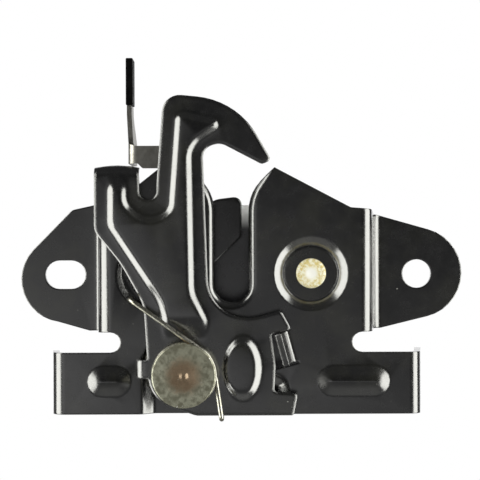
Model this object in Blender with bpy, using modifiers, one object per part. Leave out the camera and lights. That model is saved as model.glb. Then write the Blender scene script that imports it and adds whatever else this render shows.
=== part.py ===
"""Bonnet latch: a pressed base plate with a striker slot, a safety hook and a spring-loaded catch.

World frame: +X to the right and +Z up as the latch is seen from the front, +Y towards the car body.
The origin lies in the mounting plane, on the slot's centre line, at the height of the ear holes.
Every piece is drawn in bench coordinates, in millimetres: x across, z up and h, the height above the
mounting plane towards the viewer. The bench empty stands them up, so that h runs along -Y.
"""

import math
from functools import partial

import bmesh
import bpy
import numpy as np
from mathutils import Vector
from mathutils.geometry import delaunay_2d_cdt

MM = 0.001
CLEAR = 0.3
SAG = 0.035

# Sheet thicknesses
BASE_SHEET = 2.0
REAR_SHEET = 1.5
HOOK_SHEET = 2.5
CATCH_SHEET = 3.5
LEVER_SHEET = 3.0
HANDLE_SHEET = 1.5

# The two stacks, from the rear plate's back face forwards
REAR_BACK_H = 2.6
SPACER_LENGTH = 4.8
CATCH_WASHER = 1.4
BAY_DEPTH = 3.0
HOOK_STANDOFF = 2.4

# Base plate: the lines where the side walls turn back
LEFT_WALL_ANGLE = 89.0
RIGHT_WALL_ANGLE = 82.0
LEFT_WALL_RADIUS = 4.3
RIGHT_WALL_RADIUS = 3.6
EAR_RADIUS = 2.5
LEFT_BEND_X = -37.5
RIGHT_BEND_X = 40.3
WING_ANGLE = 82.0
LEFT_WING_RADIUS = 4.1
RIGHT_WING_RADIUS = 3.7
LEFT_WING_X = -51.8
RIGHT_WING_X = 55.1
LEFT_FLANGE_H = 10.0
RIGHT_FLANGE_H = 2.0
WING_TOP_Z = -23.8
PANEL_FOOT_Z = -17.5
PLATE_BOTTOM_Z = -42.95
LEFT_CUT_X = -34.6
RIGHT_CUT_X = 37.4

# Mounting ears
EAR_HOLE_Z = 0.0
LEFT_HOLE_X = -53.8
LEFT_SLOT_LENGTH = 13.0
RIGHT_HOLE_X = 59.7
HOLE_WIDTH = 9.2
LEFT_EAR_RADIUS = 13.8
RIGHT_EAR_RADIUS = 14.5

# Striker slot with its rim flared back
SLOT_HALF = 7.9
SLOT_END_Z = -2.8
SLOT_FLARE_Z = 23.4
RIM_RADIUS = 2.6
RIM_LENGTH = 3.9
PEAK_RIM_LENGTH = 0.8
RIGHT_PEAK = (14.1, 33.2)
LEFT_PEAK = (-17.0, 37.6)

# Pressings in the panel
BEAD_RISE = 1.9
BEAD_HALF_HEIGHT = 5.0
BEAD_Z = -32.7
LEFT_BEAD_X = -38.1
LEFT_BEAD_HALF = 7.2
RIGHT_BEAD_X = 37.8
RIGHT_BEAD_HALF = 11.6
BOSS_DEPTH = 2.0
BOSS_RING = 11.5
BOSS_FLAT = 8.7
BOSS_MOAT = 0.35
WINDOW_X = -24.7
WINDOW_RADIUS = 7.4
BAY_SLOPE = 4.8
BAY_LEFT_X = -28.5
BAY_RIGHT_X = 18.5
BAY_TOP_Z = -19.5

# Lanced stop tab: its bend line runs from the top to the bottom point
TAB_TOP = (17.5, -17.0)
TAB_BOTTOM = (20.1, -26.6)
TAB_ANGLE = 72.0
TAB_HEIGHT = 5.8
TAB_BEND = 1.0
TAB_WINDOW = 8.7

# Pivots
PIVOT_X = -14.5
PIVOT_Z = -29.9
LEVER_X = 24.7
LEVER_Z = 0.6
PIVOT_SHANK = 4.0
LEVER_SHANK = 3.0
BUSH_WALL = 1.2
HEAD_RADIUS = 9.75
HEAD_THICK = 2.4
BRASS_RADIUS = 4.65

# Safety hook
PANEL_RISE = 1.6
PANEL_SLOPE = 2.6
HUB_RADIUS = 11.2
HOOK_BOTTOM_Z = -42.75
ARM_BEND_Z = 30.1
ARM_RADIUS = 3.3
ARM_LIP = 4.0
ARM_DOME = 0.8
ARM_MIDDLE_X = -35.2
ARM_HALF = 7.4
FINGER_X = -26.6
FINGER_RADIUS = 3.2
HOOK_BEAD = (3.4, -28.3)
HOOK_BEAD_HALF_X = 6.3
HOOK_BEAD_HALF_Z = 10.4

# Rear plate
REAR_TOP_Z = 22.35
REAR_LIP_RADIUS = 4.2
REAR_LIP_ANGLE = 75.0

# Handle
FOOT_BOTTOM_Z = 33.3
BLADE_BOTTOM_Z = 34.8
FOOT_TOP_Z = 40.2
FOOT_END_X = -11.0
BLADE_X = -31.9
BLADE_RADIUS = 2.6
BLADE_DEPTH = 17.0
BLADE_NARROW = 8.0
BLADE_SET = 0.45
GRIP_BOTTOM_Z = 53.1
HANDLE_TOP_Z = 67.7
GRIP_WALL = 0.4
TONGUE_SHEET = 0.8

# Springs
HOOK_WIRE = 1.45
HOOK_COIL = 9.3
HOOK_LEG_ANGLE = 8.0
CATCH_WIRE = 1.4
CATCH_COIL = 6.9
LEVER_WIRE = 1.2
LEVER_COIL = 5.9

# Heights that follow from the stack
REAR_FRONT_H = REAR_BACK_H + REAR_SHEET
CATCH_BACK_H = REAR_FRONT_H + SPACER_LENGTH + 2 * CLEAR
CATCH_FRONT_H = CATCH_BACK_H + CATCH_SHEET
LEVER_BACK_H = CATCH_BACK_H
LEVER_FRONT_H = LEVER_BACK_H + LEVER_SHEET
BAY_H = CATCH_FRONT_H + CATCH_WASHER + 2 * CLEAR + BASE_SHEET
PANEL_H = BAY_H + BAY_DEPTH
PANEL_BACK_H = PANEL_H - BASE_SHEET
BOSS_H = PANEL_H - BOSS_DEPTH
HOOK_BACK_H = PANEL_H + HOOK_STANDOFF
HOOK_FRONT_H = HOOK_BACK_H + HOOK_SHEET


# Scene and finishes

def clear_scene():
    """Removes every object of the open scene."""
    for obj in list(bpy.data.objects):
        bpy.data.objects.remove(obj, do_unlink=True)


def collection(name):
    """A collection linked to the scene."""
    group = bpy.data.collections.new(name)
    bpy.context.scene.collection.children.link(group)
    return group


def finish(name, color, roughness, metallic):
    """A Principled material."""
    material = bpy.data.materials.new(name)
    material.use_nodes = True
    shader = material.node_tree.nodes["Principled BSDF"]
    shader.inputs["Base Color"].default_value = (*color, 1.0)
    shader.inputs["Roughness"].default_value = roughness
    shader.inputs["Metallic"].default_value = metallic
    return material


def make_finishes():
    """The finishes by name."""
    return {
        "black_coat": finish("black_coat", (0.012, 0.012, 0.013), 0.25, 0.0),
        "black_plastic": finish("black_plastic", (0.01, 0.01, 0.01), 0.5, 0.0),
        "zinc": finish("zinc", (0.52, 0.52, 0.46), 0.35, 1.0),
        "yellow_zinc": finish("yellow_zinc", (0.78, 0.66, 0.38), 0.35, 1.0),
        "bare_steel": finish("bare_steel", (0.42, 0.41, 0.38), 0.4, 1.0),
        "spring_steel": finish("spring_steel", (0.5, 0.49, 0.44), 0.35, 1.0),
        "bush_bronze": finish("bush_bronze", (0.55, 0.4, 0.22), 0.4, 1.0),
    }


# Outlines in the plane of x and z

def arc(centre, radius, start, end, steps):
    """Points along an arc from the start angle to the end angle, in degrees."""
    angles = np.radians(np.linspace(start, end, steps + 1))
    return [(centre[0] + radius * math.cos(a), centre[1] + radius * math.sin(a)) for a in angles]


def corner_arc(before, corner, after, radius):
    """The fillet that rounds one corner, as points from its first tangent point to its last.

    Its chords leave the true arc by SAG at most, so a large radius gets more of them.
    """
    here = Vector(corner)
    back = (Vector(before) - here).normalized()
    ahead = (Vector(after) - here).normalized()
    half = back.angle(ahead) / 2
    reach = radius / math.tan(half)
    centre = here + (back + ahead).normalized() * radius / math.sin(half)
    first = here + back * reach - centre
    turn = math.pi - 2 * half
    if back.x * ahead.y - back.y * ahead.x > 0:
        turn = -turn
    chord = min(2 * math.acos(1 - min(SAG / radius, 0.5)), math.radians(32))
    steps = max(1, math.ceil(abs(turn) / chord - 0.3))
    spokes = []
    for k in range(steps + 1):
        a = turn * k / steps
        spokes.append((
            centre.x + first.x * math.cos(a) - first.y * math.sin(a),
            centre.y + first.x * math.sin(a) + first.y * math.cos(a),
        ))
    return spokes


def filleted(corners, closed=True):
    """A path through corners given as (x, z) or (x, z, fillet radius)."""
    path = []
    count = len(corners)
    for i, corner in enumerate(corners):
        inner = closed or 0 < i < count - 1
        if len(corner) == 3 and corner[2] > 0 and inner:
            path += corner_arc(corners[i - 1][:2], corner[:2], corners[(i + 1) % count][:2], corner[2])
        else:
            path.append(tuple(corner[:2]))
    return path


def inset(corners, depth):
    """The same filleted polygon moved inwards, for corners that run counterclockwise."""
    moved = []
    count = len(corners)
    for i, corner in enumerate(corners):
        here = Vector(corner[:2])
        into = (here - Vector(corners[i - 1][:2])).normalized()
        out = (Vector(corners[(i + 1) % count][:2]) - here).normalized()
        normal_in = Vector((-into.y, into.x))
        normal_out = Vector((-out.y, out.x))
        spread = normal_in + normal_out
        place = here + spread * (2 * depth / spread.length_squared)
        radius = corner[2] if len(corner) == 3 else 0.0
        if radius > 0:
            convex = into.x * out.y - into.y * out.x > 0
            radius = max(0.2, radius - depth) if convex else radius + depth
        moved.append((place.x, place.y, radius))
    return moved


def stadium(centre, half_length, half_height, steps=8):
    """A long round-ended hole or bead along x."""
    reach = half_length - half_height
    right = arc((centre[0] + reach, centre[1]), half_height, -90, 90, steps)
    left = arc((centre[0] - reach, centre[1]), half_height, 90, 270, steps)
    return right + left


def ellipse(centre, half_x, half_z, steps=24):
    """A closed ellipse."""
    return [(centre[0] + half_x * c, centre[1] + half_z * s) for c, s in arc((0, 0), 1, 0, 360, steps)[:-1]]


def inside(points, path):
    """Which points lie inside a closed path, by the number of its edges that a ray crosses."""
    p = np.asarray(points, float)
    a = np.asarray(path, float)
    b = np.roll(a, -1, axis=0)
    spans = (a[None, :, 1] > p[:, None, 1]) != (b[None, :, 1] > p[:, None, 1])
    rise = np.where(b[:, 1] == a[:, 1], 1e-12, b[:, 1] - a[:, 1])
    cross = a[None, :, 0] + (p[:, None, 1] - a[None, :, 1]) * ((b[:, 0] - a[:, 0]) / rise)[None, :]
    return (spans & (p[:, None, 0] < cross)).sum(axis=1) % 2 == 1


def nearest(points, path, closed=True):
    """For each point its distance to a path and the nearest point on it."""
    p = np.asarray(points, float)
    a = np.asarray(path, float)
    b = np.roll(a, -1, axis=0)
    if not closed:
        a = a[:-1]
        b = b[:-1]
    along = b - a
    share = ((p[:, None] - a) * along).sum(axis=2) / np.maximum((along**2).sum(axis=1), 1e-12)
    feet = a + np.clip(share, 0, 1)[:, :, None] * along
    distances = np.linalg.norm(p[:, None] - feet, axis=2)
    best = distances.argmin(axis=1)
    rows = np.arange(len(p))
    return distances[rows, best], feet[rows, best]


def depth_inside(points, path):
    """How far each point lies inside a closed path, and 0 outside it."""
    distance, _ = nearest(points, path)
    return np.where(inside(points, path), distance, 0.0)


def smooth(value):
    """A soft step from 0 to 1."""
    v = np.clip(value, 0, 1)
    return v * v * (3 - 2 * v)


def dome(value):
    """A rounded ridge: from 0 with a soft foot to 1, halfway between a soft step and a parabola."""
    v = np.clip(value, 0, 1)
    return 0.5 * smooth(v) + 0.5 * v * (2 - v)


# Sheet metal: a flat blank is triangulated, then pressed and thickened

def blank(outline, holes=(), loops=(), lines=()):
    """A flat sheet as points and triangles, with edges along its closed loops and open lines."""
    verts = []
    edges = []
    for path, closed in [(outline, True)] + [(p, True) for p in (*holes, *loops)] + [(p, False) for p in lines]:
        first = len(verts)
        count = len(path)
        verts += [Vector(p) for p in path]
        edges += [(first + i, first + (i + 1) % count) for i in range(count if closed else count - 1)]
    found = delaunay_2d_cdt(verts, edges, [], 0, 1e-4)
    flat = np.array([(p.x, p.y) for p in found[0]])
    faces = np.array([tuple(face) for face in found[2]])
    middles = flat[faces].mean(axis=1)
    keep = inside(middles, outline)
    for hole in holes:
        keep &= ~inside(middles, hole)
    faces = faces[keep]
    used, index = np.unique(faces, return_inverse=True)
    return flat[used], index.reshape(-1, 3)


class Bench:
    """Holds the object's collections, finishes and the empties that carry its pieces."""

    def __init__(self):
        self.parts = collection("bonnet_latch")
        self.cutters = collection("cutters")
        self.finishes = make_finishes()
        self.base = self.empty("bench", None, (0, 0, 0))
        self.base.rotation_euler = (math.pi / 2, 0, 0)

    def empty(self, name, parent, place):
        """A named empty at a bench place."""
        obj = bpy.data.objects.new(name, None)
        obj.empty_display_size = 10 * MM
        obj.parent = parent
        obj.location = [v * MM for v in place]
        self.parts.objects.link(obj)
        return obj

    def add(self, name, mesh, material, axis=None, at=(0, 0)):
        """An object on the bench or on a moving axis, drawn round the bench point at."""
        obj = bpy.data.objects.new(name, mesh)
        mesh.materials.clear()
        mesh.materials.append(self.finishes[material])
        self.parts.objects.link(obj)
        obj.parent = axis or self.base
        shift = axis.location if axis else Vector((0, 0, 0))
        obj.location = Vector((at[0] * MM, at[1] * MM, 0)) - shift
        return obj

    def cutter(self, obj):
        """Moves an object to the cutters."""
        self.parts.objects.unlink(obj)
        self.cutters.objects.link(obj)
        obj.hide_render = True
        obj.display_type = "WIRE"
        return obj


def sheet_mesh(name, flat, faces, bend, rise, thickness):
    """A closed sheet: the pressed front, its points moved back along the bent sheet's normals, and the rim.

    The normals come from the bends alone, so the back surface can't fold over itself in the pressings.
    """
    step = 0.01
    level = np.zeros(len(flat))
    across = bend(flat + (step, 0), level) - bend(flat - (step, 0), level)
    along = bend(flat + (0, step), level) - bend(flat - (0, step), level)
    ways = np.cross(across, along)
    ways /= np.linalg.norm(ways, axis=1)[:, None]
    front = bend(flat, rise)
    back = front - ways * thickness
    faces = np.asarray(faces)
    edges = np.vstack([faces[:, [0, 1]], faces[:, [1, 2]], faces[:, [2, 0]]]).tolist()
    known = {tuple(edge) for edge in edges}
    count = len(front)
    rim = [(b, a, a + count, b + count) for a, b in edges if (b, a) not in known]
    mesh = bpy.data.meshes.new(name)
    solid = faces.tolist() + (faces[:, ::-1] + count).tolist() + rim
    mesh.from_pydata((np.vstack([front, back]) * MM).tolist(), [], solid)
    return mesh


def shade(mesh, degrees=40):
    """Smooth shading with sharp edges past an angle."""
    mesh.shade_smooth()
    mesh.set_sharp_from_angle(angle=math.radians(degrees))


def flat_mesh(name, outline, holes, back, thickness, edge, segments):
    """A flat plate between two heights, its rim broken by a small bevel."""
    curve = bpy.data.curves.new(name, "CURVE")
    curve.dimensions = "2D"
    curve.fill_mode = "BOTH"
    curve.extrude = thickness / 2 * MM
    for path in (outline, *holes):
        spline = curve.splines.new("POLY")
        spline.points.add(len(path) - 1)
        for point, place in zip(spline.points, path):
            point.co = (place[0] * MM, place[1] * MM, 0, 1)
        spline.use_cyclic_u = True
    temporary = bpy.data.objects.new(name, curve)
    bpy.context.scene.collection.objects.link(temporary)
    bpy.context.view_layer.update()
    graph = bpy.context.evaluated_depsgraph_get()
    mesh = bpy.data.meshes.new_from_object(temporary.evaluated_get(graph))
    bpy.data.objects.remove(temporary)
    bpy.data.curves.remove(curve)
    shell = bmesh.new()
    shell.from_mesh(mesh)
    bmesh.ops.remove_doubles(shell, verts=shell.verts, dist=1e-6)
    bmesh.ops.dissolve_limit(shell, angle_limit=math.radians(0.5), verts=shell.verts, edges=shell.edges)
    bmesh.ops.translate(shell, verts=shell.verts, vec=(0, 0, (back + thickness / 2) * MM))
    rims = [e for e in shell.edges if e.calc_face_angle(0) > math.radians(60)
            and abs(e.verts[0].co.z - e.verts[1].co.z) < 1e-7]
    bmesh.ops.bevel(shell, geom=rims, offset=edge * MM, segments=segments, profile=0.5, affect="EDGES")
    bmesh.ops.recalc_face_normals(shell, faces=shell.faces)
    shell.to_mesh(mesh)
    shell.free()
    shade(mesh)
    return mesh


def turned(bench, name, profile, at, material, axis=None, steps=20, ring=False):
    """A turned piece: its profile of (radius, height), top to bottom outside, goes round the axis."""
    mesh = bpy.data.meshes.new(name)
    count = len(profile)
    edges = [(i, i + 1) for i in range(count - 1)]
    if ring:
        edges.append((count - 1, 0))
    mesh.from_pydata([(r * MM, 0, h * MM) for r, h in profile], edges, [])
    obj = bench.add(name, mesh, material, axis, at)
    screw = obj.modifiers.new("turn", "SCREW")
    screw.steps = steps
    screw.render_steps = steps
    screw.use_merge_vertices = True
    screw.merge_threshold = 1e-5
    screw.use_smooth_shade = False
    return obj


def tube(bench, name, inner, outer, low, high, at, material, axis=None, edge=0.3):
    """A washer, spacer or bush with broken outer edges."""
    profile = [
        (inner, high),
        (outer - edge, high),
        (outer, high - edge),
        (outer, low + edge),
        (outer - edge, low),
        (inner, low),
    ]
    return turned(bench, name, profile, at, material, axis, ring=True)


def wire(bench, name, path, diameter, material, axis=None):
    """A round wire along bench places."""
    curve = bpy.data.curves.new(name, "CURVE")
    curve.dimensions = "3D"
    curve.bevel_depth = diameter / 2 * MM
    curve.bevel_resolution = 2
    curve.use_fill_caps = True
    spline = curve.splines.new("POLY")
    spline.points.add(len(path) - 1)
    for point, place in zip(spline.points, path):
        point.co = (*(v * MM for v in place), 1)
    spline.use_smooth = True
    curve.materials.append(bench.finishes[material])
    obj = bpy.data.objects.new(name, curve)
    bench.parts.objects.link(obj)
    obj.parent = axis or bench.base
    if axis:
        obj.location = -axis.location
    return obj


def coil(centre, radius, start, turns, low, pitch, steps=16):
    """Helix points counterclockwise as seen from the front, rising from low."""
    count = round(steps * turns)
    places = []
    for k in range(count + 1):
        a = math.radians(start + 360 * turns * k / count)
        rise = low + pitch * turns * k / count
        places.append((centre[0] + radius * math.cos(a), centre[1] + radius * math.sin(a), rise))
    return places


def leg(end, angle, length):
    """Where a straight leg ends that leaves a coil's end point at an angle, along the winding's way."""
    a = math.radians(angle)
    return end[0] - length * math.sin(a), end[1] + length * math.cos(a)


def join_cut(target, tool, operation):
    """An exact Boolean modifier."""
    boolean = target.modifiers.new(operation.lower(), "BOOLEAN")
    boolean.object = tool
    boolean.operation = operation
    boolean.solver = "EXACT"


# Base plate

def bend_path(distance, radius, angle, drop, foot_radius):
    """Run and drop of a sheet that turns down through an angle, runs straight and turns level again.

    The arc lengths are radius times angle. With no foot radius the straight run simply ends.
    """
    turn = math.radians(angle)
    foot = foot_radius or 0.0
    straight = (drop - (radius + foot) * (1 - math.cos(turn))) / math.sin(turn)
    s = np.asarray(distance, float)
    first = np.clip(s, 0, radius * turn) / radius
    run = radius * np.sin(first)
    fall = radius * (1 - np.cos(first))
    middle = np.clip(s - radius * turn, 0, straight)
    run = run + middle * math.cos(turn)
    fall = fall + middle * math.sin(turn)
    rest = s - radius * turn - straight
    if foot:
        last = np.clip(rest, 0, foot * turn) / foot
        run = run + foot * (math.sin(turn) - np.sin(turn - last))
        fall = fall + foot * (np.cos(turn - last) - math.cos(turn))
        run = run + np.maximum(rest - foot * turn, 0)
    return np.where(s > 0, run, s), np.where(s > 0, fall, 0.0)


def bend_lengths(radius, angle, drop, foot_radius):
    """Blank distances of the bend lines, and the length that the bends add to the run."""
    turn = math.radians(angle)
    straight = (drop - (radius + foot_radius) * (1 - math.cos(turn))) / math.sin(turn)
    total = (radius + foot_radius) * turn + straight
    run = (radius + foot_radius) * math.sin(turn) + straight * math.cos(turn)
    stops = [radius * turn * k / 5 for k in range(6)]
    if foot_radius:
        stops += [radius * turn + straight + foot_radius * turn * k / 4 for k in range(5)]
    return stops, total - run, total


def slot_rim():
    """The slot's rim, where the panel starts to turn back, from the right peak round to the left one."""
    right = filleted(
        [RIGHT_PEAK, (SLOT_HALF, SLOT_FLARE_Z, 12), (SLOT_HALF, SLOT_END_Z)],
        closed=False,
    )
    bottom = arc((0, SLOT_END_Z), SLOT_HALF, 0, -180, 16)[1:-1]
    left = filleted(
        [(-SLOT_HALF, SLOT_END_Z), (-SLOT_HALF, SLOT_FLARE_Z, 12), LEFT_PEAK],
        closed=False,
    )
    return right + bottom + left


def rim_normals(rim):
    """Unit normals of the rim that point into the slot."""
    places = np.asarray(rim)
    along = np.gradient(places, axis=0)
    along /= np.linalg.norm(along, axis=1)[:, None]
    return np.column_stack([along[:, 1], -along[:, 0]])


def offset_rim(rim, distance):
    """The rim moved into the slot by a distance, one value or one for each point."""
    return [tuple(p) for p in np.asarray(rim) + rim_normals(rim) * np.reshape(distance, (-1, 1))]


def rim_lengths(rim):
    """How long the turned-back lip is at each rim point: short at the peaks, full further down."""
    heights = np.asarray(rim)[:, 1]
    share = smooth((33.0 - heights) / 9.0)
    return PEAK_RIM_LENGTH + (RIM_LENGTH - PEAK_RIM_LENGTH) * share


def base_outline(rim, upper_right, upper_left, lower_right, lower_left):
    """The blank's outline, counterclockwise from the right flange's foot."""
    right_add = upper_right[1]
    left_add = upper_left[1]
    right_end = RIGHT_WING_X + lower_right[2]
    left_end = LEFT_WING_X - lower_left[2]
    lip = offset_rim(rim, rim_lengths(rim))
    cut_radius = (PANEL_FOOT_Z - WING_TOP_Z) / 2
    cut_z = (PANEL_FOOT_Z + WING_TOP_Z) / 2
    right_ear = (RIGHT_HOLE_X + right_add, EAR_HOLE_Z + 0.3)
    left_ear = (LEFT_HOLE_X - left_add - 0.5, EAR_HOLE_Z - 1.5)
    path = [(right_end, PLATE_BOTTOM_Z), (right_end, WING_TOP_Z)]
    path += arc((RIGHT_CUT_X + cut_radius, cut_z), cut_radius, 270, 90, 8)
    path += [(47.9 + right_add, -17.5)]
    path += arc(right_ear, RIGHT_EAR_RADIUS, -77, 75, 14)
    path += [(47.0 + right_add, 19.0), (43.5, 20.6)]
    path += filleted([(43.4, 20.6), (37.0, 21.1, 1.0), RIGHT_PEAK], closed=False)[1:]
    path += lip
    path += filleted([LEFT_PEAK, (-36.3, 22.4, 2.0), (-44.0, 22.4)], closed=False)
    path += filleted([(-44.2 - left_add, 22.5), (-51.6 - left_add, 20.9, 3), (-63.9 - left_add, 8.4)], closed=False)
    path += arc(left_ear, LEFT_EAR_RADIUS, 137, 262, 12)
    path += [(-46.0 - left_add, -18.1), (LEFT_CUT_X - cut_radius, PANEL_FOOT_Z)]
    path += arc((LEFT_CUT_X - cut_radius, cut_z), cut_radius, 90, -90, 8)
    path += [(left_end, WING_TOP_Z), (left_end, PLATE_BOTTOM_Z)]
    return path


def bay_corners():
    """The stepped-back bay round the main pivot, counterclockwise, open at the plate's bottom edge."""
    low = PLATE_BOTTOM_Z - 12
    return [
        (BAY_LEFT_X, BAY_TOP_Z, 7),
        (BAY_LEFT_X, low),
        (BAY_RIGHT_X, low),
        (BAY_RIGHT_X, BAY_TOP_Z - 10.5, 5.5),
        (9.5, BAY_TOP_Z - 10.5, 7),
        (-0.5, BAY_TOP_Z, 7),
    ]


def base_rise(flat):
    """Height of the panel's pressings above the panel."""
    h = np.zeros(len(flat))
    left_bead = stadium((LEFT_BEAD_X, BEAD_Z), LEFT_BEAD_HALF, BEAD_HALF_HEIGHT, 16)
    right_bead = stadium((RIGHT_BEAD_X, BEAD_Z), RIGHT_BEAD_HALF, BEAD_HALF_HEIGHT, 16)
    for bead in (left_bead, right_bead):
        h += BEAD_RISE * dome(depth_inside(flat, bead) / BEAD_HALF_HEIGHT)
    h -= BAY_DEPTH * smooth(depth_inside(flat, filleted(bay_corners())) / BAY_SLOPE)
    for centre in ((LEVER_X, LEVER_Z), (WINDOW_X, LEVER_Z)):
        reach = np.hypot(flat[:, 0] - centre[0], flat[:, 1] - centre[1])
        h -= BOSS_DEPTH * smooth((BOSS_RING - reach) / (BOSS_RING - BOSS_FLAT))
    reach = np.hypot(flat[:, 0] - LEVER_X, flat[:, 1] - LEVER_Z)
    h -= BOSS_MOAT * smooth((reach - BOSS_FLAT + 0.35) / 0.3) * smooth((BOSS_FLAT + 1.2 - reach) / 1.2)
    return h


def bend_base(flat, rise, rim):
    """Moves the flat blank to the front surface, bent at the slot's rim, the walls and the wings."""
    x = flat[:, 0].copy()
    z = flat[:, 1].copy()
    h = PANEL_H + rise

    # The slot's rim turns back round its bend radius
    fine = np.asarray(rim)
    distance, foot = nearest(flat, fine, closed=False)
    slot_region = rim + [(-SLOT_HALF, 60), (SLOT_HALF, 60)]
    within = inside(flat, slot_region) & (distance > 1e-3) & (flat[:, 1] < 45)
    away = np.where(within[:, None], flat - foot, 1.0)
    away /= np.linalg.norm(away, axis=1)[:, None]
    turn = np.minimum(distance / RIM_RADIUS, math.radians(78))
    rest = distance - turn * RIM_RADIUS
    reach = RIM_RADIUS * np.sin(turn) + rest * np.cos(turn)
    fall = RIM_RADIUS * (1 - np.cos(turn)) + rest * np.sin(turn)
    x = np.where(within, foot[:, 0] + away[:, 0] * reach, x)
    z = np.where(within, foot[:, 1] + away[:, 1] * reach, z)
    h = np.where(within, h - fall, h)

    # Walls, ears and flanges
    upper = z > (PANEL_FOOT_Z + WING_TOP_Z) / 2
    sides = (
        (upper, RIGHT_BEND_X, 1, RIGHT_WALL_RADIUS, RIGHT_WALL_ANGLE, PANEL_H - BASE_SHEET, EAR_RADIUS),
        (upper, LEFT_BEND_X, -1, LEFT_WALL_RADIUS, LEFT_WALL_ANGLE, PANEL_H - BASE_SHEET, EAR_RADIUS),
        (~upper, RIGHT_WING_X, 1, RIGHT_WING_RADIUS, WING_ANGLE, PANEL_H - RIGHT_FLANGE_H, 0),
        (~upper, LEFT_WING_X, -1, LEFT_WING_RADIUS, WING_ANGLE, PANEL_H - LEFT_FLANGE_H, 0),
    )
    for rows, line, side, radius, angle, drop, foot_radius in sides:
        past = (flat[:, 0] - line) * side
        run, down = bend_path(past, radius, angle, drop, foot_radius)
        turned_back = rows & (past > 0)
        x = np.where(turned_back, line + side * run, x)
        h = np.where(turned_back, h - down, h)
    return np.column_stack([x, z, h])


def ring_loops(centre, radii, steps=32):
    """Concentric circles."""
    return [arc(centre, r, 0, 360, steps)[:-1] for r in radii]


def tab_frame():
    """The tab's first corner, the way along its bend line and the way to its left, as unit vectors, and its length."""
    top = Vector(TAB_TOP)
    line = Vector(TAB_BOTTOM) - top
    along = line.normalized()
    return top, along, Vector((along.y, -along.x)), line.length


def stop_tab(bench):
    """The lanced tab, bent forward along its slanted line, as a solid to join to the panel."""
    top, along, left, length = tab_frame()
    rise = math.radians(TAB_ANGLE)
    leg = (TAB_HEIGHT - TAB_BEND * (1 - math.cos(rise))) / math.sin(rise)
    reach = (leg * math.cos(rise), leg * math.sin(rise))
    centre = (0.0, PANEL_H + TAB_BEND)
    inner = arc(centre, TAB_BEND, -90, TAB_ANGLE - 90, 4)
    outer = arc(centre, TAB_BEND + BASE_SHEET, TAB_ANGLE - 90, -90, 6)
    profile = [(-2.0, PANEL_H), *inner]
    profile.append((inner[-1][0] + reach[0], inner[-1][1] + reach[1]))
    profile.append((outer[0][0] + reach[0], outer[0][1] + reach[1]))
    profile += [*outer, (-2.0, PANEL_BACK_H)]
    solid = bmesh.new()
    rings = []
    for distance in (0.0, length):
        end = top + along * distance
        row = [solid.verts.new(((end + left * e).x * MM, (end + left * e).y * MM, h * MM)) for e, h in profile]
        rings.append(row)
    solid.faces.new(rings[0])
    solid.faces.new(reversed(rings[1]))
    count = len(profile)
    for i in range(count):
        j = (i + 1) % count
        solid.faces.new((rings[0][j], rings[0][i], rings[1][i], rings[1][j]))
    bmesh.ops.recalc_face_normals(solid, faces=solid.faces)
    mesh = bpy.data.meshes.new("stop_tab")
    solid.to_mesh(mesh)
    solid.free()
    return bench.cutter(bench.add("stop_tab", mesh, "black_coat"))


def tab_window():
    """The window that the stop tab was lanced from."""
    top, along, left, length = tab_frame()
    edge = 0.7
    corners = [(-edge, -edge), (TAB_WINDOW, -edge), (TAB_WINDOW, length + edge), (-edge, length + edge)]
    return [tuple(top + left * e + along * d) for e, d in corners]


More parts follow.
